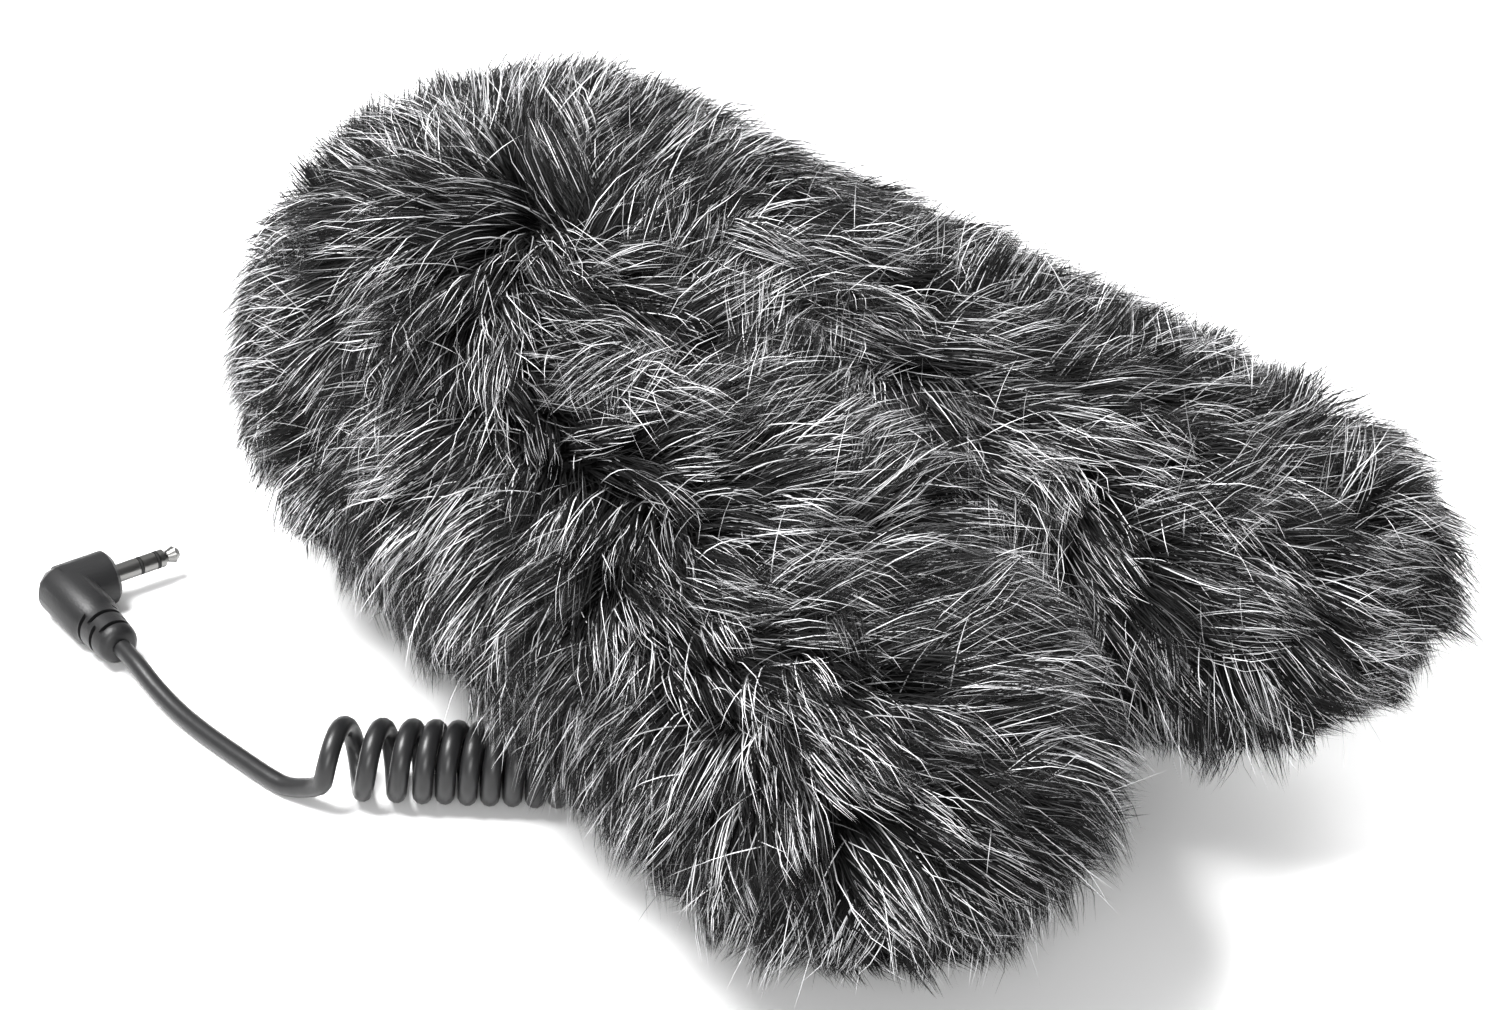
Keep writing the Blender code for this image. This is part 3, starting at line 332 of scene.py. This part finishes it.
def coil_points():
    """The coil's turns, from its end under the fur to its end by the plug. The last turns are looser."""
    heading = math.radians(COIL_HEADING)
    axis = Vector((math.cos(heading), math.sin(heading), 0))
    across = UP.cross(axis)
    radius = (COIL_DIAMETER - CORD_DIAMETER) / 2
    reach = (Vector(LEAD_ROUTE[-1]) - COIL_CENTRE).dot(axis)
    span = reach - (Vector(TAIL_ROUTE[0]) - COIL_CENTRE).dot(axis)
    count = COIL_TURNS * COIL_STEPS
    slack = span - COIL_TIGHT_PITCH * COIL_TURNS
    points = []
    for i in range(count + 1):
        turn = i / COIL_STEPS
        loose = max(0.0, (turn - COIL_TURNS + COIL_LOOSE_TURNS) / COIL_LOOSE_TURNS)
        done = COIL_TIGHT_PITCH * turn + slack * loose**2
        a = 2 * math.pi * turn
        sway = 1 + 0.02 * math.sin(2.4 * turn)
        points.append(
            COIL_CENTRE + axis * (reach - done)
            + across * (radius * sway * math.sin(a)) - UP * (radius * math.cos(a))
        )
    return points


def make_cable():
    """The cable as a round curve, with its length and the place it leaves the microphone, in metres."""
    lead = eased_route(LEAD_ROUTE, ROUTE_SPACING)
    tail = eased_route(TAIL_ROUTE, ROUTE_SPACING)
    points = lead[:-ROUTE_TRIM] + coil_points()[COIL_TRIM:-COIL_TRIM] + tail[ROUTE_TRIM:]
    lowest = CORD_DIAMETER / 2 - CORD_SINK
    points = [Vector((p.x, p.y, max(p.z, lowest))) for p in points]
    for _ in range(2):
        middle = [(a + b * 2 + c) / 4 for a, b, c in zip(points, points[1:], points[2:])]
        points = [points[0], *middle, points[-1]]
    line = bpy.data.curves.new("cable", "CURVE")
    line.dimensions = "3D"
    line.bevel_depth = CORD_DIAMETER / 2 * MM
    line.bevel_resolution = 4
    line.use_fill_caps = True
    spline = line.splines.new("POLY")
    spline.points.add(len(points) - 1)
    for point, place in zip(spline.points, points):
        point.co = (*(place * MM), 1)
    line.materials.append(MATERIALS["cord"])
    made = bpy.data.objects.new("cable", line)
    bpy.context.collection.objects.link(made)
    length = sum((b - a).length for a, b in zip(points, points[1:])) * MM
    return made, length, points[0] * MM


cable, cable_length, cable_exit = make_cable()
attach(cable, "mount")
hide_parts("cable_lead", "cable_coil", "cable_tail")
print(f"cable {cable_length * 1000:.0f} mm")

# %% [markdown]
# ## The fur's cloth
# The cloth is found by casting rays out from a point that sees all of its inside.


# %% Cloth
def cloth_holds(points):
    """For each point, whether it is inside the cloth's outline."""
    inside = np.zeros(len(points), bool)
    for side in (-1, 1):
        tip = CLOTH_TIP * (side, 1, 1)
        for share in np.linspace(0, 1, OUTLINE_STEPS):
            off = points - (CLOTH_REAR + (tip - CLOTH_REAR) * share)
            across, above, below = CLOTH_REAR_HALF + (CLOTH_TIP_HALF - CLOTH_REAR_HALF) * share
            wide = (off[:, 0] ** 2 + off[:, 1] ** 2) / across**2
            raised, sunk = (off[:, 2] / above) ** 2, np.abs(off[:, 2] / below) ** LOWER_FULLNESS
            high = np.where(off[:, 2] > 0, raised, sunk)
            inside |= wide + high < 1
    return inside


def cast(directions):
    """Where rays from the core leave the cloth's outline, or reach the height of its hem."""
    near, far = np.zeros(len(directions)), np.full(len(directions), FARTHEST)
    for _ in range(HALVINGS):
        middle = (near + far) / 2
        held = cloth_holds(CLOTH_CORE + directions * middle[:, None])
        near, far = np.where(held, middle, near), np.where(held, far, middle)
    down = np.minimum(directions[:, 2], -1e-6)
    hem = np.where(directions[:, 2] < -1e-6, (CLOTH_HEM_Z - CLOTH_CORE[2]) / down, np.inf)
    return CLOTH_CORE + directions * np.minimum(near, hem)[:, None], near < hem


def in_mouth(x, y, grow):
    """Whether a plan point is inside the jacket's mouth, grown by a distance."""
    across = abs(x) / (HOUSING_HALF_WIDTH + grow)
    along = abs(y - HOUSING_CENTRE_Y) / (HOUSING_HALF_LENGTH + grow)
    if across**HOUSING_SQUARENESS + along**HOUSING_SQUARENESS < 1:
        return True
    a = math.radians(ARM_ANGLE)
    reach = abs(x) * math.sin(a) - (y - ARM_CROSSING_Y) * math.cos(a)
    aside = abs(x) * math.cos(a) + (y - ARM_CROSSING_Y) * math.sin(a)
    return 0 < reach < ARM_END + grow and abs(aside) < ARM_HALF_WIDTH + grow


def mouth_point(a):
    """The point of the hem's inner edge at an angle around the mouth."""
    near, far = 0.0, MOUTH_FARTHEST
    for _ in range(HALVINGS):
        middle = (near + far) / 2
        if in_mouth(middle * math.cos(a), middle * math.sin(a), MOUTH_MARGIN):
            near = middle
        else:
            far = middle
    return (near * math.cos(a), near * math.sin(a), CLOTH_HEM_Z)


def toward(angles, heights):
    """Unit directions at angles around and heights above the level, both in radians."""
    level = np.cos(heights)
    return np.stack([np.cos(angles) * level, np.sin(angles) * level, np.sin(heights)], 1)


def cloth_grid():
    """The cloth's outside as rings of points, from its hem to its crown."""
    angles = 2 * np.pi * (np.arange(CLOTH_AROUND) + 0.5) / CLOTH_AROUND
    lowest = np.full(CLOTH_AROUND, -1.2)
    highest = np.full(CLOTH_AROUND, 0.0)
    for _ in range(HEM_HALVINGS):
        middle = (lowest + highest) / 2
        _, on_outline = cast(toward(angles, middle))
        lowest, highest = np.where(on_outline, lowest, middle), np.where(on_outline, middle, highest)
    rings = []
    for j in range(CLOTH_UP):
        height = highest + (np.pi / 2 - highest) * (j / CLOTH_UP)
        rings.append(cast(toward(angles, height))[0])
    crown = cast(np.array([[0.0, 0.0, 1.0]]))[0]
    return angles, np.array(rings), crown[0]


def make_cloth():
    """The cloth as one layered mesh, with its area in square metres and the points it was drawn from."""
    angles, rings, crown = cloth_grid()
    bm = bmesh.new()
    rows = [[bm.verts.new(mouth_point(a)) for a in angles]]
    rows += [[bm.verts.new(p) for p in ring] for ring in rings]
    rows.append([bm.verts.new(crown)] * CLOTH_AROUND)
    for row, after in zip(rows, rows[1:]):
        for i in range(CLOTH_AROUND):
            j = (i + 1) % CLOTH_AROUND
            bm.faces.new(list(dict.fromkeys((row[i], row[j], after[j], after[i]))))
    area = sum(f.calc_area() for f in bm.faces)
    bmesh.ops.recalc_face_normals(bm, faces=bm.faces)
    bmesh.ops.scale(bm, vec=(MM, MM, MM), verts=bm.verts)
    mesh = bpy.data.meshes.new("fur_cloth")
    bm.to_mesh(mesh)
    bm.free()
    mesh.shade_smooth()
    made = bpy.data.objects.new("fur_cloth", mesh)
    bpy.context.collection.objects.link(made)
    cloth = plain("fur_cloth", (0.006, 0.006, 0.006), 0.9, grain=(1500, 0.0003))
    mesh.materials.append(cloth)
    layer = made.modifiers.new("layer", "SOLIDIFY")
    layer.thickness = CLOTH_THICKNESS * MM
    layer.offset = -1
    bpy.context.view_layer.objects.active = made
    bpy.ops.object.modifier_apply(modifier="layer")
    return made, area * MM * MM, rings, crown


cloth, cloth_area, rings, crown = make_cloth()
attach(cloth, "jacket")
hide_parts("fur_top_panel", "fur_left_panel", "fur_right_panel")
print(f"cloth {cloth_area * 1e6:.0f} mm2")

# %% [markdown]
# ## How the pile lies
# COMB holds strokes of the hand: a place on the fur in millimetres, and the way the pile lies there.
# Between them it falls away from the ridges, and a slow noise turns it into cowlicks.

# %% Comb
COMB = (
    ((-33, 67, 80), (0.2, 0.9, -0.4)), ((-21, 56, 90), (0.6, 0.8, 0)),
    ((-5, 40, 95), (0.8, 0.6, 0.1)), ((15, 25, 93), (0.8, 0.6, -0.1)),
    ((-4, 8, 90), (1, 0.3, 0)), ((2, -14, 84), (0.9, -0.4, -0.1)),
    ((-43, 47, 78), (-0.2, 1, -0.3)), ((-55, 45, 66), (-0.1, 0.8, -0.5)),
    ((-60, 26, 55), (-0.2, 0.7, -0.7)), ((-64, 9, 55), (-0.3, 0.5, -0.8)),
    ((-68, -11, 52), (-0.3, 0.2, -0.9)), ((-56, -1, 68), (-0.6, -0.5, -0.6)),
    ((-38, 3, 80), (0.8, -0.5, 0.2)), ((-37, -21, 78), (0.6, -0.8, 0.1)),
    ((-34, -35, 76), (0.9, -0.5, 0.1)), ((-54, -20, 69), (-0.4, -0.8, -0.3)),
    ((-57, -38, 67), (-0.7, 0.5, -0.4)), ((-68, -36, 58), (-0.6, 0, -0.8)),
    ((-74, -58, 54), (-0.6, -0.4, -0.7)), ((-56, -58, 65), (-0.3, -0.9, -0.2)),
    ((-31, -49, 74), (0.9, -0.4, 0)), ((-18, -60, 70), (1, 0, -0.2)),
    ((-36, -70, 68), (1, -0.2, 0)), ((-33, -84, 65), (0.5, -0.8, -0.3)),
    ((-52, -72, 66), (-0.5, -0.8, -0.3)), ((-59, -86, 61), (-0.7, -0.7, -0.3)),
    ((-79, -88, 50), (-0.6, -0.5, -0.6)), ((-80, -103, 45), (-0.4, -0.2, -0.9)),
    ((-47, -94, 62), (1, -0.3, 0.1)), ((-33, -105, 58), (1, 0, -0.1)),
    ((-56, -108, 57), (1, -0.2, 0.2)), ((-45, -122, 52), (1, -0.2, -0.1)),
    ((-71, -112, 50), (-0.8, -0.1, -0.6)), ((-62, -126, 40), (-0.2, -0.3, -0.9)),
    ((-47, -130, 38), (0.5, -0.2, -0.8)), ((37, -20, 78), (0.9, 0.3, -0.2)),
    ((20, -27, 79), (-0.9, -0.4, -0.1)), ((31, -50, 74), (1, -0.1, -0.1)),
    ((16, -60, 70), (0.7, -0.7, -0.1)), ((36, -75, 67), (0.9, -0.3, 0)),
    ((18, -82, 63), (0.3, -0.9, -0.2)), ((28, -96, 61), (0.9, -0.5, 0)),
    ((46, -103, 60), (1, -0.2, -0.1)), ((13, -98, 54), (0.1, -0.9, -0.4)),
    ((24, -116, 52), (0.7, -0.7, -0.1)), ((45, -124, 50), (0.9, -0.3, -0.3)),
    ((10, -112, 40), (0.4, -0.5, -0.7)),
)
COMB_REACH = 15.0
COMB_STRENGTH = 2.2
COWLICK_SIZE = 21.0
COWLICK_TURN = 110.0  # degrees


def unit(vectors):
    """The vectors at length 1."""
    return vectors / np.maximum(np.linalg.norm(vectors, axis=-1, keepdims=True), 1e-9)


def headings(points, normals):
    """The way the pile lies at points of the cloth."""
    side = np.where(points[:, 0] < 0, -1.0, 1.0)
    share = np.clip((CLOTH_REAR[1] - points[:, 1]) / (CLOTH_REAR[1] - CLOTH_TIP[1]), 0, 1)
    ridge_y = CLOTH_REAR[1] - share * (CLOTH_REAR[1] - CLOTH_TIP[1])
    ridge = np.stack([side * CLOTH_TIP[0] * share, ridge_y], 1)
    away = np.zeros_like(points)
    away[:, :2] = unit(points[:, :2] - ridge)
    flow = away + np.array((0.15, -0.25, -0.55))
    for place, stroke in COMB:
        gap = np.linalg.norm(points - np.array(place), axis=1)
        weight = COMB_STRENGTH * np.exp(-((gap / COMB_REACH) ** 2))
        flow += weight[:, None] * unit(np.array(stroke, float))[None]
    flow = unit(flow - normals * (flow * normals).sum(1, keepdims=True))
    turn = np.array([noise.noise(Vector(p) / COWLICK_SIZE + Vector((3, 7, 1))) for p in points])
    turn = np.radians(COWLICK_TURN) * turn
    swept = np.cross(normals, flow)
    return flow * np.cos(turn)[:, None] + swept * np.sin(turn)[:, None]


# %% [markdown]
# ## The pile
# Strands are ribbons that taper to a point. Each leaves the cloth steeply and leans over the way it is
# combed, and is drawn to the guide of its tuft. There are four coats: a dense dark undercoat, a
# middle coat, long guard hairs with pale ends, and a few strays that lie any way.


# %% Roots
def halves(a, b, c, d):
    """The two triangles of each square abcd."""
    first, second = np.stack([a, b, c], 2), np.stack([a, c, d], 2)
    return np.concatenate([first.reshape(-1, 3, 3), second.reshape(-1, 3, 3)])


def cloth_triangles():
    """Corner points and normals of the cloth's outside."""
    closed = np.concatenate([rings, np.repeat(crown[None, None], CLOTH_AROUND, 1)])
    after = np.roll(closed, -1, axis=1)
    a, b, c, d = closed[:-1], after[:-1], after[1:], closed[1:]
    corners = halves(a, b, c, d)
    around = after - np.roll(closed, 1, axis=1)
    up = np.gradient(closed, axis=0)
    normal = unit(np.cross(around, up))
    normal[-1] = (0, 0, 1)
    after_n = np.roll(normal, -1, axis=1)
    normals = halves(normal[:-1], after_n[:-1], after_n[1:], normal[1:])
    first, second = corners[:, 1] - corners[:, 0], corners[:, 2] - corners[:, 0]
    area = np.linalg.norm(np.cross(first, second), axis=1) / 2
    return corners, normals, area


def scatter(count):
    """Points spread evenly over the cloth, with its normals there."""
    corners, normals, area = CLOTH
    picked = rng.choice(len(area), count, p=area / area.sum())
    u, v = rng.random(count), rng.random(count)
    flip = u + v > 1
    u, v = np.where(flip, 1 - u, u), np.where(flip, 1 - v, v)
    weights = np.stack([1 - u - v, u, v], 1)[:, :, None]
    return (corners[picked] * weights).sum(1), unit((normals[picked] * weights).sum(1))


CLOTH = cloth_triangles()


# %% Growing strands
def grow(roots, normals, lie, length, rise, lean, droop, segments):
    """Points along strands that leave at an angle rise from the cloth and end at an angle lean."""
    points = [roots]
    for k in range(segments):
        share = (k + 0.5) / segments
        angle = np.radians(rise + (lean - rise) * share**0.7)[:, None]
        heading = normals * np.sin(angle) + lie * np.cos(angle)
        heading[:, 2] -= droop * share
        points.append(points[-1] + unit(heading) * (length / segments)[:, None])
    return np.stack(points, 1)


def spread(count, middle, width):
    """Values about a middle, none further than twice the width from it."""
    return middle + width * rng.standard_normal(count).clip(-2, 2)


TUFTS = 2600
TUFT_LENGTH = 20.0
TUFT_STEPS = 6  # along each tuft's guide
DROOP = 0.2  # how far a strand sags towards its tip
HEM_SHARE = 0.55  # of the full length, for the pile that grows at the hem
HEM_BLEND = 30  # the height over which the pile reaches its full length


def local_length(roots):
    """The share of the full length that the pile has at a root: shorter towards the hem."""
    rise = np.clip((roots[:, 2] - CLOTH_HEM_Z) / HEM_BLEND, 0, 1)
    return HEM_SHARE + (1 - HEM_SHARE) * rise * rise * (3 - 2 * rise)


def tuft_guides():
    """One guide strand for each tuft, with how the tuft lies, its length and its tone."""
    roots, normals = scatter(TUFTS)
    lie = headings(roots, normals)
    swing = np.radians(spread(TUFTS, 0, 24))[:, None]
    lie = lie * np.cos(swing) + np.cross(normals, lie) * np.sin(swing)
    length = spread(TUFTS, TUFT_LENGTH, 2.6) * local_length(roots)
    guide = grow(roots, normals, lie, length, spread(TUFTS, 56, 9), spread(TUFTS, 14, 9), DROOP, TUFT_STEPS)
    tree = kdtree.KDTree(TUFTS)
    for i, root in enumerate(roots):
        tree.insert(Vector(root), i)
    tree.balance()
    tone = spread(TUFTS, 0, 0.06)
    return {"roots": roots, "lie": lie, "length": length, "guide": guide, "tone": tone, "tree": tree}


TUFT = tuft_guides()
print(f"{TUFTS} tufts")


def coat(count, segments, length, width, rise, lean, wander, gather, shade):
    """One coat of strands. wander turns each strand from its tuft, in degrees, and gather is how far
    its tip is drawn to its tuft's. shade is the range of the strand's column in the colour map."""
    roots, normals = scatter(count)
    tuft = np.array([TUFT["tree"].find(Vector(root))[1] for root in roots])
    lie = TUFT["lie"][tuft]
    lie = unit(lie - normals * (lie * normals).sum(1, keepdims=True))
    swing = np.radians(spread(count, 0, wander))[:, None]
    lie = lie * np.cos(swing) + np.cross(normals, lie) * np.sin(swing)
    own = length * spread(count, 1, 0.14) * (TUFT["length"][tuft] / TUFT_LENGTH)
    points = grow(roots, normals, lie, own, spread(count, *rise), spread(count, *lean), DROOP, segments)
    share = np.linspace(0, 1, segments + 1)
    steps = share * TUFT_STEPS * np.minimum(own / TUFT["length"][tuft], 1.0)[:, None]
    low = np.floor(steps).astype(int).clip(0, TUFT_STEPS - 1)
    between = (steps - low)[:, :, None]
    guide = TUFT["guide"][tuft]
    rows = np.arange(count)[:, None]
    followed = guide[rows, low] * (1 - between) + guide[rows, low + 1] * between
    offset = (roots - TUFT["roots"][tuft])[:, None] * (1 - share)[None, :, None] ** 0.8
    pull = (gather * share**1.4)[None, :, None]
    points = points * (1 - pull) + (followed + offset) * pull
    points[:, :, 2] = np.maximum(points[:, :, 2], FLOOR_CLEARANCE + rng.random((count, 1)))
    return {
        "points": points, "normals": normals, "width": width * spread(count, 1, 0.2),
        "shade": np.clip(rng.uniform(*shade, count) + TUFT["tone"][tuft], 0.01, 0.99),
        "twist": rng.uniform(-0.9, 0.9, count),
    }


# %% Ribbons
def ribbon_mesh(name, coats, picks):
    """One mesh of the picked strands of each coat, as tapering ribbons."""
    verts, faces, maps, base = [], [], [], 0
    for strands, picked in zip(coats, picks):
        points = strands["points"][picked]
        count, rows = points.shape[:2]
        if not count:
            continue
        segments = rows - 1
        along = unit(np.gradient(points, axis=1))
        out = strands["normals"][picked][:, None]
        flat = unit(np.cross(along, out))
        twist = strands["twist"][picked][:, None, None]
        flat = unit(flat * np.cos(twist) + np.cross(along, flat) * np.sin(twist))
        share = np.linspace(0, 1, rows)
        taper = (1 - share**2.2) * (0.65 + 0.35 * np.minimum(share * 5, 1))
        half = (strands["width"][picked][:, None] * taper[None] / 2)[:, :, None]
        left, right = points - flat * half, points + flat * half
        body = np.stack([left[:, :-1], right[:, :-1]], 2).reshape(count, -1, 3)
        strand_verts = np.concatenate([body, points[:, -1:]], 1)
        per = strand_verts.shape[1]
        start = base + per * np.arange(count)[:, None]
        k = np.arange(segments - 1)[None]
        quads = np.stack([start + 2 * k, start + 2 * k + 1, start + 2 * k + 3, start + 2 * k + 2], 2)
        tips = np.concatenate([start + per - 3, start + per - 2, start + per - 1], 1)
        shade = strands["shade"][picked]
        column = np.repeat(shade[:, None], per, 1)
        column[:, 0:-1:2] -= MAP_HALF_WIDTH
        column[:, 1:-1:2] += MAP_HALF_WIDTH
        height = np.concatenate([np.repeat(share[:-1], 2), [1.0]]) * 0.98 + 0.01
        uv = np.stack([column, np.repeat(height[None], count, 0)], 2)
        verts.append(strand_verts.reshape(-1, 3))
        faces.append((quads.reshape(-1, 4), tips))
        maps.append(uv.reshape(-1, 2))
        base += per * count
    verts, maps = np.concatenate(verts) * MM, np.concatenate(maps)
    loops = np.concatenate([np.concatenate([quads.ravel(), tips.ravel()]) for quads, tips in faces])
    sizes = np.concatenate([np.repeat([4, 3], [len(quads), len(tips)]) for quads, tips in faces])
    mesh = bpy.data.meshes.new(name)
    mesh.vertices.add(len(verts))
    mesh.vertices.foreach_set("co", verts.astype(np.float32).ravel())
    mesh.loops.add(len(loops))
    mesh.loops.foreach_set("vertex_index", loops.astype(np.int32))
    mesh.polygons.add(len(sizes))
    mesh.polygons.foreach_set("loop_start", (np.cumsum(sizes) - sizes).astype(np.int32))
    mesh.update(calc_edges=True)
    mesh.polygons.foreach_set("use_smooth", np.ones(len(sizes), bool))
    layer = mesh.uv_layers.new(name="OFBake")
    layer.data.foreach_set("uv", maps[loops].astype(np.float32).ravel())
    made = bpy.data.objects.new(name, mesh)
    bpy.context.collection.objects.link(made)
    mesh.materials.append(FUR)
    print(f"{name}: {sum(len(q) * 2 + len(t) for q, t in faces)} triangles")
    return made


# %% [markdown]
# ## The fur's colours
# The colour map runs from root to tip along each strand, and from dark to pale strands across.

# %% Fur material
MAP_HALF_WIDTH = 0.003  # of a strand in the colour map


def fur_material():
    """Dark strands stay near black, and pale ones rise to a light grey past their roots."""
    made, shader, start = new_material("grey_fur", (0.1, 0.1, 0.1), 0.6)
    shader.inputs["Specular IOR Level"].default_value = 0.06
    uv = start.node("ShaderNodeUVMap", uv_map="OFBake")
    shade = start.node("ShaderNodeSeparateXYZ", uv)
    along = Value(start.tree, shade.socket.node.outputs[1])
    dark = 0.0015 + shade * shade * 0.004
    pale = shade.step_to(0.76, 0.96)
    rising = along.step_to(0.25, 0.6)
    value = dark + rising * (0.001 + shade * 0.013 + pale**1.5 * 0.8)
    colour = start.node("ShaderNodeCombineColor", value, value, value * 1.02)
    drive(shader, "Base Color", colour)
    return made


FUR = fur_material()

# %% [markdown]
# The coats, then the meshes: each mesh takes the strands of one region of the jacket.

# %% Coats
DENSITY = 1.0


def many(count):
    return int(count * DENSITY)


# Each coat: strands, segments, length, width, rise, lean, wander, gather and shade.
coats = [
    coat(many(84000), 3, 15.5, 0.46, (56, 12), (18, 12), 24, 0.6, (0.02, 0.30)),
    coat(many(52000), 4, 19, 0.27, (56, 10), (14, 10), 16, 0.75, (0.30, 0.55)),
    coat(many(108000), 4, 20.5, 0.205, (56, 12), (14, 12), 20, 0.62, (0.50, 0.97)),
    coat(many(6500), 6, 20.5, 0.21, (58, 14), (6, 16), 50, 0.15, (0.82, 0.95)),
]


def region_of(points):
    """Which of the regions each root is in: three rows from rear to front, by thirds across."""
    rank = np.argsort(np.argsort(points[:, 1]))
    row = (rank * 3 // len(points)).clip(0, 2)
    region = np.zeros(len(points), int)
    for r in range(3):
        mine = np.flatnonzero(row == r)
        order = np.argsort(np.argsort(points[mine, 0]))
        region[mine] = r * 3 + (order * 3 // len(mine)).clip(0, 2)
    return region


regions = [region_of(strands["points"][:, 0]) for strands in coats]
WORDS = [f"{row}_{column}" for row in ("front", "middle", "rear") for column in ("left", "centre", "right")]
for number, word in enumerate(WORDS):
    pile = ribbon_mesh(f"pile_{word}", coats, [np.flatnonzero(region == number) for region in regions])
    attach(pile, "jacket")

# %% [markdown]
# ## Stage
# A pale floor, soft light from above and behind on the left, and the camera over the left lobe.

# %% Stage
bpy.ops.mesh.primitive_plane_add(size=12)
floor = bpy.context.object
floor.name = "floor"
floor.data.materials.append(plain("floor_white", (0.88, 0.88, 0.88), 0.8))


def area_light(name, place, aim, size, power):
    """A square light that faces its aim, in metres and watts."""
    light = bpy.data.lights.new(name, "AREA")
    light.size = size
    light.energy = power
    made = bpy.data.objects.new(name, light)
    made.location = place
    made.rotation_euler = (Vector(aim) - Vector(place)).to_track_quat("-Z", "Y").to_euler()
    bpy.context.collection.objects.link(made)


LIGHTS_AIM = (0, -0.02, 0.05)
area_light("key", (-0.35, 0.25, 0.9), LIGHTS_AIM, 0.4, 22)
area_light("fill", (-0.9, -0.9, 0.7), LIGHTS_AIM, 0.6, 13)
area_light("rim", (0.8, 0.1, 0.45), LIGHTS_AIM, 0.4, 9)
world = bpy.data.worlds.new("studio")
world.use_nodes = True
sky = world.node_tree.nodes["Background"]
sky.inputs["Color"].default_value = (1, 1, 1, 1)
sky.inputs["Strength"].default_value = 0.62
bpy.context.scene.world = world
bpy.context.scene.view_settings.view_transform = "Standard"

CAMERA_AT = Vector((-570.7, -595.6, 565.9)) * MM
CAMERA_AIM = Vector((17.1, 2.6, 21.3)) * MM
lens = bpy.data.cameras.new("camera")
lens.sensor_width = 36
lens.lens = 129.6
camera = bpy.data.objects.new("camera", lens)
camera.location = CAMERA_AT
camera.rotation_euler = (CAMERA_AIM - CAMERA_AT).to_track_quat("-Z", "Y").to_euler()
bpy.context.collection.objects.link(camera)
bpy.context.scene.camera = camera
